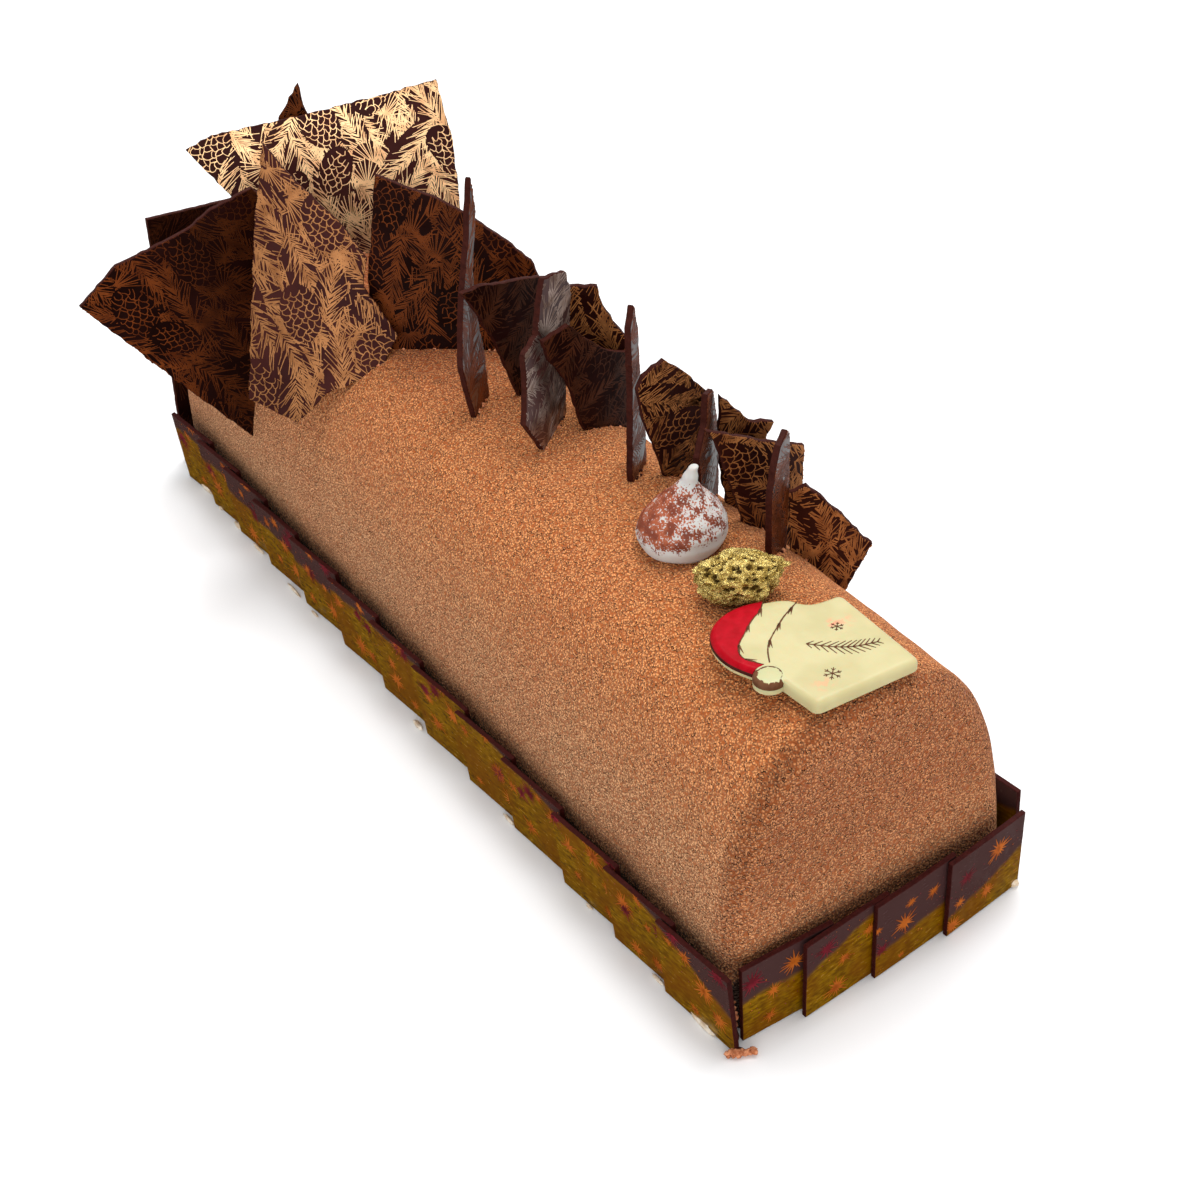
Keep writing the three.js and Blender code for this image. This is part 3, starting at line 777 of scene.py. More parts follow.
# each row: its label, its turn, and the start, distance out, yaw and lean of its panels
rows = [("left", 0, [(s, 42.7, 5.3 + 0.6 * uneven(i, 1), 2.4 + 0.5 * uneven(i, 2))
                     for i, s in enumerate(LEFT_STARTS)]),
        ("right", 180, [(s, 42.2, 4.7 + 0.4 * uneven(i, 2), 0.5 + 0.4 * uneven(i, 3))
                        for i, s in enumerate(RIGHT_STARTS)]),
        ("front", 90, FRONT)]
half = PANEL_SIDE / 2
square_outline = np.array([[-half, 0], [half, 0], [half, PANEL_SIDE], [-half, PANEL_SIDE]])
panel_draw = np.random.default_rng(41)
for label, row_turn, panels in rows:
    for i, (start, out, yaw, lean) in enumerate(panels):
        turned = turn(row_turn, "z")
        tipped = turn(yaw, "z") @ turn(lean, "x")
        sag = panel_draw.uniform(-0.25, 0.25, 2)

        def stand(points):
            """Across, up and out, as a panel's x, z and -y; then tipped, set on the floor and
            turned with its row. Each panel bows by a quarter millimetre at most."""
            bow = sag[0] * (points[:, 0] / half) ** 2 * (points[:, 1] / PANEL_SIDE) * 0.5
            local = np.stack([points[:, 0], -points[:, 2] + bow, points[:, 1]], -1) @ tipped.T
            local[:, 2] -= local[:, 2].min()
            return (local + [start + half, -out, 0]) @ turned.T

        def own_square(points):
            """UV: the place across, and the height above the line where the painted reflection
            ends.
            """
            across, height = points[:, 0] / PANEL_SIDE, points[:, 1] / PANEL_SIDE
            return np.column_stack([across + 0.5, height - end_height - end_slope * across])

        edge = rough_edge(square_outline, 2.4, 0.06, panel_draw)
        stars, red_stars = scattered_stars(panel_draw)
        end_height, end_slope = 0.6 + 0.1 * uneven(i, 4), 0.3 * uneven(i, 5)
        if label == "left":
            end_height, end_slope = LEFT_ENDS[i]
        if label == "front":
            end_height, end_slope = FRONT_ENDS[i]
            stars, red_stars = FRONT_STARS[i], [FRONT_CRIMSON[i]]
        crimson, copper = star_print_rows(edge, panel_draw, stars, red_stars, end_height)
        name = f"{label}_panel_{i + 1:02d}"
        piece = printed_sheet(name, edge, PANEL_THICK, 0.14, stand, panel_finish,
                              [(3, crimson), (2, copper)], own_square)
        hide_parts(f"panel_{label}_{i + 1:02d}")
print("panels", sum(len(panels) for label, row_turn, panels in rows))

# %% [markdown]
# The print on the big sheets: sprigs of pine, tufts seen end on, and cones. A sprig is a curved
# stem with long and short needles to each side, closer than a millimetre, and a tuft is a fan of
# needles. A cone is an oval filled with a fine net of scales. They are scattered on a loose
# lattice, and cones keep needles out of their oval.

# %% Sprigs, tufts and cones
KINDS, TUFTS = 13, (2, 6, 11)  # motifs repeat after so many points, and these are tufts


def sprig(at, heading, length, draw):
    """Needles to both sides of a bent stem. They lean forward, and open less towards the tip."""
    bend = draw.uniform(-0.6, 0.6)
    count = int(length)
    t = np.linspace(0, 1, count)
    angle = heading + bend * (t - 0.5)
    stem = at + np.cumsum(unit(angle), axis=0) * length / count - unit(heading) * length / 2
    needles = []
    for hand, share in ((-1, 1), (1, 1), (-1, 0.5), (1, 0.5)):
        spread = np.radians(42 - 18 * t) + draw.uniform(-0.28, 0.28, count)
        reach = (8.0 - 2.4 * np.abs(t - 0.35)) * draw.uniform(0.7, 1.1, count) * share
        foot = stem + unit(angle) * draw.uniform(-0.5, 0.5, (count, 1))
        tip = foot + unit(angle + hand * spread) * reach[:, None]
        wide = draw.uniform(0.20, 0.30, count)
        needles.append(as_strokes(foot, tip, wide, wide * 0.75))
    return np.concatenate(needles)


def tuft(at, heading, draw):
    """A fan of needles from one bud."""
    count = int(draw.integers(15, 21))
    angle = heading + np.linspace(-1.35, 1.35, count) + draw.uniform(-0.06, 0.06, count)
    foot = at + unit(angle) * 0.6
    tip = at + unit(angle) * draw.uniform(6.2, 9.2, (count, 1))
    wide = draw.uniform(0.22, 0.32, count)
    return as_strokes(foot, tip, wide * 0.8, wide)


def cone(at, heading, half_width, half_height, draw):
    """Rows of overlapping scales within an oval that stands along heading. Each scale is a
    hanging arc of six strokes, and every second row is moved by half a scale. The whole net is
    pulled about smoothly, so its cells are uneven and their lines still meet."""
    wide, step = 2.1, 1.5
    t = np.linspace(0, math.pi, 7)
    arc = np.stack([-0.5 * wide * np.cos(t), -1.06 * step * np.sin(t) ** 0.8], -1)
    i, j = np.meshgrid(np.arange(-4, 5), np.arange(-7, 8))
    hub = np.stack([(i + (j % 2) / 2) * wide, j * step], -1).reshape(-1, 2)
    fit = ((hub / [half_width, half_height]) ** 2).sum(-1)
    scales = (hub[:, None] + arc)[fit < 1]
    pull = np.stack([rumple(scales, 3.4, int(seed)) for seed in draw.integers(0, 9999, 2)], -1)
    scales = scales + 0.55 * pull + draw.uniform(-0.07, 0.07, scales.shape)
    a, b = scales[:, :-1].reshape(-1, 2), scales[:, 1:].reshape(-1, 2)
    turned = np.stack([-left_of(unit(heading)), unit(heading)])
    line = draw.uniform(0.15, 0.25, len(a))
    return as_strokes(a @ turned + at, b @ turned + at, line, line)


def forest_print(edge, draw, cones, fillers, spacing=10.8):
    """The print of one sheet, cut off at its edge: one motif at each point of a loose lattice.
    cones gives the kinds that are cones, and they come first. Each motif then keeps later ones
    out of the oval that it fills. Last come short sprigs at random places as fillers."""
    low, high = edge.min(0) - 6, edge.max(0) + 6
    columns, lines = (np.ceil((high - low) / [spacing, spacing * 0.87])).astype(int)
    i, j = np.meshgrid(np.arange(columns + 1), np.arange(lines + 1))
    lattice = np.stack([low[0] + (i + (j % 2) / 2) * spacing, low[1] + j * spacing * 0.87], -1)
    lattice = lattice.reshape(-1, 2) + draw.uniform(-2.4, 2.4, (i.size, 2))
    kind = (3 * i + 5 * j + int(draw.integers(0, KINDS))).ravel() % KINDS
    heading = draw.uniform(0, 2 * math.pi) + draw.uniform(-0.85, 0.85, len(lattice))
    heading += math.pi * draw.integers(0, 2, len(lattice))
    ovals, rows = [], []
    for n in np.argsort(~np.isin(kind, cones), kind="stable"):
        at, angle = lattice[n], heading[n]
        across = -left_of(unit(angle))
        if kind[n] in cones:
            half_width, half_height = draw.uniform(4.0, 5.0), draw.uniform(6.2, 8.2)
            drawn = cone(at, angle, half_width, half_height, draw)
            oval = (at, across, half_width + 0.5, half_height + 0.6)
        elif kind[n] in TUFTS:
            drawn = tuft(at, angle, draw)
            oval = (at + unit(angle) * 4, across, 3.6, 3.0)
        else:
            length = draw.uniform(20, 32)
            drawn = sprig(at, angle, length, draw)
            oval = (at, across, 4.2, length * 0.42)
        drawn = keep_inside(drawn, edge, ovals)
        ovals.append(oval)
        rows.append(drawn)
    late = np.random.default_rng(61)
    for n in range(fillers):
        at, angle = late.uniform(edge.min(0), edge.max(0)), heading[0] + late.uniform(-0.6, 0.6)
        length = late.uniform(14, 24)
        rows.append(keep_inside(sprig(at, angle, length, late), edge, ovals))
        ovals.append((at, -left_of(unit(angle)), 4.2, length * 0.42))
    return np.concatenate(rows)


# %% [markdown]
# Shards. Each was broken from a sheet and pushed into the soft top while the coat was fresh, so
# it stands where it was put, some upright and some leaning back. The numbers are the ones in the
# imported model: a point on the skin, a heading and a lean for the printed face, how far its ends
# bend back, how far its corners are wrung, and the broken outline from that point.

# %% The numbers of the sheets
SHEET_THICK = 1.6
SHEETS = [
    ("back_sheet", (-150, -42, 0), 90, 0, 0, 0, [[0, 0], [84, 0], [81, 77], [34, 81], [7, 84]]),
    ("shard_big_left", (-91, -37.8, 38.2), 76, 0, 2, 0,
     [[0, 0], [4, -2], [26, 18], [24, 60], [15, 75], [3, 72], [-4, 68], [-25, 62], [-37, 52]]),
    ("shard_big_front", (-43.6, -13.5, 74.5), 62, 20, 2, 0,
     [[-25, -13], [-16, -6], [-1, -2], [5, 7], [-2, 21], [0, 28], [-6, 39], [-18, 54], [-22, 61],
      [-28, 39], [-37, -5]]),
    ("shard_big_middle", (-108, 0, 75.8), 66, 20, 3, 0,
     [[-10, -8], [34, -16], [43, 6], [44, 26], [42, 44], [25, 42], [4, 40], [-10, 39], [-24, 38],
      [-32, 35], [-22, 21]]),
    ("shard_big_hidden", (-122, 5, 75), 60, 10, 1, 0,
     [[-8, -6], [9, -6], [10, 20], [4, 37], [3, 45], [-4, 36], [-10, 14]]),
    ("shard_big_right", (-40, -0.5, 75.8), 52, 8, 3, 0,
     [[-16, -2], [0, -5], [30, -18], [32, 14], [29, 23], [21, 31], [14, 37], [6, 42], [-9, 48],
      [-15, 20]]),
    ("shard_01", (-5, -7.6, 75.4), 128, 0, -1, 0,
     [[-1, -2], [8, -4], [9, 12], [8, 24], [9, 36], [14, 50], [14, 59], [9, 44], [1, 30],
      [-6, 17]]),
    ("shard_02", (-5, 7, 75.6), 98, 0, 1, 0,
     [[-1, -3], [10, -7], [15, 27], [6, 31], [-2, 33], [-8, 35], [-14, 35], [-12, 31], [-7, 19]]),
    ("shard_03", (17.8, -0.8, 75.8), 120, 0, 0, 2.5,
     [[-2, -3], [13, -4], [14, 7], [13, 18], [17, 25], [17, 34], [15, 40], [7, 42], [2, 29],
      [-4, 27], [-6, 18], [-10, 11]]),
    ("shard_04", (10, 20, 71), 60, 0, 0, 0,
     [[-4, -4], [8, -10], [10, 19], [7, 25], [4, 31], [3, 37], [-6, 38]]),
    ("shard_05", (19.6, 10.4, 75.2), 95, 0, 1.5, 0,
     [[0, -3], [14, -14], [16, 15], [9, 19], [3, 25], [-2, 31], [-9, 29], [-8, 23], [-4, 16]]),
    ("shard_06", (43.9, 9, 75.3), 128, -2, 0, 0,
     [[-4, -2], [6, -4], [7, 10], [5, 26], [5, 38], [3, 45], [0, 41], [-1, 23], [-4, 4]]),
    ("shard_07", (47.5, 15.1, 74), 90, 0, 0, 0,
     [[0, -3], [10, -10], [13, 19], [6, 28], [2, 32], [-4, 30], [-6, 27], [-5, 18], [-2, 7]]),
    ("shard_08", (61.5, 16.6, 72.8), 127, -3, 0, 0,
     [[-2, -2], [9, -8], [9, 16], [5, 29], [1, 30], [0, 23], [-6, 17]]),
    ("shard_09", (62, 28, 64), 75, 0, 0, 0,
     [[-4, -2], [2, -6], [6, 22], [8, 25], [2, 27], [-5, 36], [-6, 17]]),
    ("shard_10", (72.9, 20.3, 71.5), 82, 0, 2, 0,
     [[0, -3], [12, -16], [16, 5], [17, 15], [1, 24], [-8, 28], [-6, 24], [-4, 15], [-2, 7]]),
    ("shard_11", (88.2, 16.8, 73.3), 125, -4, 0, 0,
     [[-2, -3], [8, -8], [8, 10], [7, 28], [5, 31], [0, 30], [-3, 26], [-5, 20], [-4, 4]]),
    ("shard_12", (86, 26, 66.7), 60, 0, 1, 0,
     [[4, -8], [10, -12], [17, 1], [15, 3], [10, 11], [2, 20], [-2, 18], [-2, 0]]),
]


def sheet_place(at, heading, lean, bend, twist, outline):
    """Puts flat points of a sheet in the model. The face falls back by bend times the square of
    the place across, and is wrung by twist times across times up, both from -1 to 1."""
    low, high = outline.min(0), outline.max(0)
    middle, reach = (low + high) / 2, (high - low) / 2
    turned = turn(heading, "z") @ turn(90 - lean, "x")

    def place_points(points):
        a, u = ((points[:, :2] - middle) / reach).T
        out = points[:, 2] + twist * a * u - bend * a * a
        return np.column_stack([points[:, :2], out]) @ turned.T + at

    return place_points


print("sheets", len(SHEETS))

# %% Shards
FINISHES = [  # chocolate, print and the sheets that have them
    (chocolate_painted_in_shade, print_painted_in_shade, ("back_sheet", "shard_02", "shard_05")),
    (chocolate_painted_in_shade, print_with_painted_shadow, ("shard_big_left",)),
    (chocolate_painted_in_shade, copper_print, ("shard_big_hidden", "shard_big_right")),
    (chocolate_painted_in_light, print_painted_in_bright_light, ("shard_big_middle",)),
    (chocolate_painted_in_light, print_painted_in_half_light, ("shard_big_front",)),
    (soft_chocolate, print_with_painted_reflection, ("shard_03",)),
    (sheet_chocolate, print_painted_in_medium_light, ("shard_04", "shard_07", "shard_09", "shard_10", "shard_12")),
    (gleaming_chocolate, copper_print, ("shard_01", "shard_06", "shard_08", "shard_11")),
]
finish_of = {name: [base, broken_edge, lustre] for base, lustre, names in FINISHES
             for name in names}
sheet_draw = np.random.default_rng(7)
placed = {}
stroke_count = 0
for name, at, heading, lean, bend, twist, outline in SHEETS:
    outline = np.array(outline, float)
    place_points = sheet_place(np.array(at, float), heading, lean, bend, twist, outline)
    wander = 0.12 if name == "back_sheet" else 0.3
    edge = rough_edge(outline, EDGE_STEP, wander, sheet_draw)
    if "big" in name:
        rows = forest_print(edge, sheet_draw, (0, 4, 8), fillers=80)
    else:
        rows = forest_print(edge, sheet_draw, (4,), fillers=12)
    low, high = outline.min(0), outline.max(0)

    def own_place(points):
        """UV: the place across and up the sheet, from 0 to 1."""
        return (points[:, :2] - low) / (high - low)

    piece = printed_sheet(name.replace("shard", "broken_sheet").replace("back_sheet", "end_sheet"),
                          edge, SHEET_THICK, 0.25, place_points, finish_of[name], [(2, rows)],
                          own_place)
    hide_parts(name)
    placed[name] = (place_points, outline)
    stroke_count += len(rows)
print("print strokes on the sheets", stroke_count)

# %% [markdown]
# The meringue kiss was piped from a round nozzle, pulled up to a tip that fell over a little, and
# dried. It is a profile turned round an axis, with its upper part leaning, soft rings from the
# piping and a few dents. Its cocoa was dusted from the left side, so the mask of the cocoa is a
# direction times soft patches, and its low rim and tip stay bare.

# %% Meringue finish
KISS_AT = np.array([74.2, 1.7, 75.2])
meringue = new_material("meringue", Roughness=0.6, Specular_IOR_Level=0.4,
                        Subsurface_Weight=0.15, Subsurface_Scale=0.002)
centred = add("Mapping", {
    "Vector": place["Object"], "Location": tuple(-KISS_AT * MM),
}, vector_type="POINT").outputs[0]
height = xyz(centred)["Z"]
cloud = cloudy(420.0, 5.0, 0.43, 0.60, centred)
speck = cloudy(2100.0, 4.0, 0.50, 0.62, centred)
toward = add("VectorMath", {0: centred, 1: (-40.0, -62.0, 0.0)}, operation="DOT_PRODUCT")
toward = ramp(toward.outputs["Value"], -0.5, 0.5)
between = times(ramp(height, 0.0026, 0.0070), ramp(height, 0.0200, 0.0155))
cocoa = math_node("ADD", times(cloud["Value"], 0.4), times(speck["Value"], 0.6))
cocoa = math_node("ADD", cocoa, times(toward, 0.11))
cocoa = math_node("ADD", cocoa, times(between, 0.25))
cocoa_tone = mix(cloud["Mask"], (160, 80, 46), (116, 48, 22))
fill(shader, {
    "Base Color": mix(ramp(cocoa, 0.745, 0.79), (192, 189, 185), cocoa_tone),
    "Normal": bumpy(500.0, 2.0, 0.00025, centred)["Normal"],
})

# %% Meringue kiss
KISS_PROFILE = [[7.6, 0], [9.6, 1.7], [10.4, 4.3], [9.6, 7.8], [7.3, 11], [4.5, 13.8], [2.4, 16.7],
                [1.6, 19], [1.15, 20.8]]
KISS_HEADING, KISS_REACH, KISS_POWER = 61, 3.6, 2.2
KISS_HEIGHT = KISS_PROFILE[-1][1]

line = flowing(KISS_PROFILE, 66)
bow = unit(np.linspace(0.2, 1.45, 6))
line = np.concatenate([line, bow * [1.1, 0.45] + [0, KISS_HEIGHT]])
angle = np.linspace(0, 2 * math.pi, 96, endpoint=False)
radius, level = line[:, :1], line[:, 1:]
ripple = 0.10 * np.sin(level * 2.1 + 0.9 * np.sin(angle)) * ease(level, 1, 5)
foot_dent = 0.28 * np.cos(5 * angle + 1) * ease(-level, -3.2, 0)
rings = (radius + ripple + foot_dent)[..., None] * unit(angle)
rings = np.concatenate([rings, (level + 0 * angle)[..., None]], -1)
rings *= 1 + 0.02 * rumple(rings, 9, 12)[..., None] * [1, 1, 0.4]
rings[0, :, 2] = 0
tilt = KISS_REACH * (np.maximum(rings[..., 2:], 0) / KISS_HEIGHT) ** KISS_POWER
rings += tilt * np.array([*unit(math.radians(KISS_HEADING)), 0])
peak = rings[-1].mean(0) + [0, 0, 0.03]
points, quads, fans = skin(rings, [0, 0, 0], peak)
kiss = make_piece("piped_kiss", points + KISS_AT, [quads, fans], [meringue])
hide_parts("meringue_kiss")
print("kiss is", np.ptp(points, 0).round(1), "mm")

# %% [markdown]
# The gilded nugget is a piece of puffed honeycomb sugar in gold lustre: round craters of one to
# three millimetres with sharp rims between them. Cells that each push a hollow into an oval give
# that form: every point is sunk by how near it lies to its nearest crater's middle, so the rims
# stand where two craters are equally near. One end is drawn out to a point.

# %% Nugget finish
gold = new_material("gold_lustre_with_painted_crater_shade", Metallic=0.9)
near_rim = add("Attribute", attribute_name="rim").outputs["Fac"]
worn = cloudy(500.0, 4.0, 0.4, 0.62)
lustre = mix(worn["Mask"], (232, 208, 130), (172, 144, 72))
# Painted shade in the middle of each crater.
lustre = mix(ramp(near_rim, 0.50, 0.02), lustre, (78, 56, 16))
low_part = ramp(xyz(place["Object"])["Z"], 0.0795, 0.0765)
fill(shader, {
    "Base Color": mix(times(low_part, 0.7), lustre, (110, 58, 22)),
    "Roughness": math_node("MULTIPLY_ADD", worn["Value"], 0.3, 0.10),
    "Normal": bumpy(1700.0, 3.0, 0.0011)["Normal"],
})

# %% Nugget
NUGGET_AT = np.array([98.8, 0.3, 80.9])
NUGGET_SIZE = np.array([19.6, 12.2, 11.8])
NUGGET_HEADING = 59
CRATERS = 200
NOTCH = np.array([0.72, -0.62, -0.3])

latitude = np.linspace(0, math.pi, 122)[1:-1, None]
longitude = np.linspace(0, 2 * math.pi, 200, endpoint=False)
ball = np.stack([np.cos(latitude) + 0 * longitude, np.sin(latitude) * np.cos(longitude),
                 np.sin(latitude) * np.sin(longitude)], -1)
ends = np.array([[1.0, 0, 0], [-1.0, 0, 0]])
draw = np.random.default_rng(23)
k = np.arange(CRATERS) + 0.5
spiral = math.pi * (1 + math.sqrt(5)) * k
ring_at = 1 - 2 * k / CRATERS
seeds = np.stack([ring_at, np.sqrt(1 - ring_at ** 2) * np.cos(spiral),
                  np.sqrt(1 - ring_at ** 2) * np.sin(spiral)], -1)
seeds = unit_rows(seeds + draw.normal(0, 0.085, seeds.shape))
weight = draw.uniform(0.6, 1.45, CRATERS)


def foam(way):
    """The nugget's surface in each direction, and how near each point is to a rim, 0 to 1. The
    distance to a crater's middle is divided by the crater's own size. The end along x is drawn
    out and up to a point, and a notch is bitten out of the side below it."""
    flat = way.reshape(-1, 3)
    near = (np.linalg.norm(flat[:, None] - seeds, axis=-1) / weight).min(1)
    rim = ease(near, 0.02, 0.145)
    lump = 1 + 0.07 * rumple(flat, 0.9, 4) + 0.035 * rumple(flat, 0.3, 8)
    sunk = 0.895 + 0.14 * rim + 0.045 * rumple(flat, 0.10, 9) * rim
    notch = 0.22 * np.exp(-((flat - NOTCH) ** 2).sum(-1) / 0.05)
    point = np.maximum(flat[:, :1], 0) ** 3
    shape = flat * (lump * sunk - notch)[:, None] * np.concatenate(
        [np.ones_like(point), 1 - 0.62 * point, 1 - 0.5 * point], 1)
    shape = shape + point * [0.03, 0.28, 0.22]
    return (shape * NUGGET_SIZE / 2).reshape(way.shape), rim


rings, rim = foam(ball)
poles, pole_rim = foam(ends)
points, quads, fans = skin(rings, *poles)
points = points @ turn(NUGGET_HEADING, "z").T + NUGGET_AT
nugget = make_piece("foam_nugget", points, [quads[:, ::-1], fans[:, ::-1]], [gold], sharp=50)
layer = nugget.data.attributes.new("rim", "FLOAT", "POINT")
layer.data.foreach_set("value", np.concatenate([pole_rim[:1], rim, pole_rim[1:]]).astype("f4"))
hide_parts("gilded_nugget")
print("nugget is", np.ptp(points, 0).round(1), "mm")

# %% [markdown]
# The plaque is white chocolate cast in a shallow mould: a square tablet with a floppy festive hat
# over one corner. The colours were brushed into the mould first, so the red lies over a thin dark
# line and the ivory body. Tablet, dark layer and red layer are slabs with rounded rims, the fur
# is left in ivory, and its torn edges are drawn with dark strokes. The tablet carries a sprig.

# %% Plaque finishes
SMUDGES = [  # place and reach in metres, strength
    ((0.1218, 0.0077, 0.0795), 0.0024, 0.8), ((0.1225, 0.0100, 0.0795), 0.0035, 0.4),
    ((0.1366, -0.0066, 0.0795), 0.0036, 0.28),
]
ivory = new_material("ivory_chocolate", Roughness=0.36, Specular_IOR_Level=0.25,
                     Subsurface_Weight=0.2, Subsurface_Scale=0.002)
ivory_tone = mix(cloudy(90.0, 2.0, 0.35, 0.65)["Mask"], (184, 174, 127), (192, 182, 136))
ragged = cloudy(700.0, 3.0, 0.45, 0.6)["Mask"]
for smudge_at, reach, strength in SMUDGES:
    away = add("VectorMath", {0: place["Object"], 1: smudge_at}, operation="DISTANCE")
    blot = times(ramp(away.outputs["Value"], reach, reach * 0.2), ragged)
    ivory_tone = mix(times(blot, strength), ivory_tone, (240, 130, 105))
fill(shader, {"Base Color": ivory_tone, "Normal": bumpy(120.0, 2.0, 0.0005)["Normal"]})


def coloured_butter(name, low, high, rough):
    """Coloured cocoa butter, brushed on: almost even, with a soft gloss."""
    return two_toned(name, low, high, (400.0, 3.0, 0.3, 0.7), (200.0, 2.0, 0.0002),
                     Roughness=rough, Specular_IOR_Level=0.05)


red_butter = coloured_butter("red_butter", (154, 6, 20), (172, 10, 28), 0.32)
dark_line = coloured_butter("dark_line", (58, 22, 18), (74, 32, 26), 0.45)
brown_line = coloured_butter("brown_line", (88, 54, 34), (106, 70, 48), 0.45)

# %% Plaque outline
PLAQUE_AT = np.array([127.6, 1.6, 76.3])
PLAQUE_TILT, PLAQUE_TURN = 3, -2
PLAQUE_THICK, PLAQUE_ROUND, PLAQUE_CORNER = 2.8, 1.6, 2.2
PLAQUE_LENGTH, PLAQUE_WIDTH = 28, 27
POMPOM_AT, POMPOM_RADIUS = np.array([0.5, -15.4]), 3.5


def curve(points, count=14):
    """A Bezier curve through its control points, without its last point: each step blends
    neighbouring points until one is left."""
    level = [np.asarray(p, float) for p in points]
    t = np.linspace(0, 1, count, endpoint=False)[:, None]
    level = [np.broadcast_to(p, (count, 2)) for p in level]
    while len(level) > 1:
        level = [a * (1 - t) + b * t for a, b in zip(level, level[1:])]
    return level[0]


right_x, far_y, c = PLAQUE_LENGTH / 2, PLAQUE_WIDTH / 2, PLAQUE_CORNER
arc = np.linspace(math.pi + 0.6, 2 * math.pi + 0.3, 26)
hat_back = np.concatenate([
    curve([(-right_x, far_y - c), (-14.2, 7.6), (-14.2, 5.8), (-16.6, 4.2)]),
    curve([(-16.6, 4.2), (-19.2, 3.4), (-20, 1), (-21, -2.5)]),
    curve([(-21, -2.5), (-23.4, -7), (-22.8, -14), (-18.1, -17.6)], 20),
    curve([(-18.1, -17.6), (-14, -20.4), (-9, -20.3), (-5.4, -18.8)]),
])
plaque_outline = np.concatenate([
    curve([(right_x - c, -far_y), (right_x, -far_y), (right_x, c - far_y)], 8),
    curve([(right_x, c - far_y), (right_x, far_y - c)], 10),
    curve([(right_x, far_y - c), (right_x, far_y), (right_x - c, far_y)], 8),
    curve([(right_x - c, far_y), (c - right_x, far_y)], 10),
    curve([(c - right_x, far_y), (-right_x, far_y), (-right_x, far_y - c)], 8),
    hat_back,
    POMPOM_AT + POMPOM_RADIUS * unit(arc),
])
plaque_turned = turn(PLAQUE_TURN, "z") @ turn(-PLAQUE_TILT, "x")


def on_plaque(points):
    """The plaque's own points, tilted, turned and set down on the log."""
    return points @ plaque_turned.T + PLAQUE_AT


def slab(outline, low, high, rim):
    """A slab between two heights whose upper rim is rounded. The rim's rings are the outline
    moved inwards by rim * (1 - cos a) at the height high - rim * (1 - sin a)."""
    ahead = unit_rows(np.roll(outline, -1, axis=0) - np.roll(outline, 1, axis=0))
    inwards = left_of(ahead) * turning(outline)
    middle = seeing_middle(outline)
    levels = [(0, low)] + [(rim * (1 - math.cos(a)), high - rim * (1 - math.sin(a)))
                           for a in np.linspace(0, math.pi / 2, 9)]
    rings = [at_height(outline + inwards * inset, z) for inset, z in levels]
    top = rings[-1][:, :2]
    rings += [at_height(middle + (top - middle) * s, high) for s in (0.92, 0.75, 0.5, 0.25)]
    under = [rings[0] * [s, s, 1] + [*(middle * (1 - s)), 0] for s in (0.3, 0.7)]
    points, quads, fans = skin(np.stack(under + rings), [*middle, low], [*middle, high])
    if turning(outline) < 0:
        quads, fans = quads[:, ::-1], fans[:, ::-1]
    return points, quads, fans


print("plaque outline points", len(plaque_outline))

# %% Plaque
torn_red = flowing([  # where the red meets the fur, from the back edge to the pompom
    [-20.6, -2.4], [-18.4, -4.6], [-16.9, -7.4], [-15.3, -9.8], [-13.4, -12.2], [-11.4, -14.8],
    [-9.2, -16.5], [-7.0, -16.9], [-5.2, -16.2], [-2.7, -14.6],
], 46)
torn_fur = flowing([  # where the fur meets the tablet
    [-16.4, 3.6], [-15.0, 0.8], [-13.6, -1.9], [-11.7, -4.7], [-9.8, -7.4], [-8.0, -9.6],
    [-5.8, -11.4], [-2.6, -13.2],
], 40)
back_of_red = np.concatenate([hat_back[hat_back[:, 1] < -2.6], [[-4.4, -18.4], [-2.5, -17.5]]])


def layer_between(outer, inner, low, high, rim):
    """A layer that spans from an outer line to an inner one. Every cross-section is one ring:
    along the underside, up the outer side, round the rim, and back along the top."""
    way = unit_rows(inner - outer)
    ring = [at_height(inner, low), at_height(outer, low)]
    for a in np.linspace(0, math.pi / 2, 9):
        level = high - rim * (1 - math.sin(a))
        ring.append(at_height(outer + way * rim * (1 - math.cos(a)), level))
    ring += [at_height((outer + inner) / 2, high), at_height(inner, high)]
    rings = np.stack(ring, 1)
    points, quads, fans = skin(rings, rings[0].mean(0), rings[-1].mean(0))
    return points, quads[:, ::-1], fans[:, ::-1]


def grown(line, amount):
    """The line moved outwards, away from the middle of the plaque."""
    return line - left_of(unit_rows(np.gradient(line, axis=0))) * amount


def fur_line(points, draw):
    """A line of uneven thickness. At every eleventh point it tears: three hairs, which taper to
    nothing, run on almost along it."""
    ink = draw.uniform(0.24, 0.40, len(points))
    line = as_strokes(points[:-1], points[1:], ink[:-1], ink[1:])
    root = points[4:-4:11]
    ahead = unit_rows(points[7::11][:len(root)] - root)
    tufts = [line]
    for swing, reach, drop in ((-24, 2.6, 0.0), (-13, 1.9, 0.7), (7, 1.3, 0.0)):
        start = root + ahead * drop
        way = ahead @ turn(swing, "z")[:2, :2]
        hair = start + way * reach * draw.uniform(0.8, 1.2, (len(root), 1))
        tufts.append(as_strokes(start, hair, 0.6, 0.07))
    return np.concatenate(tufts)


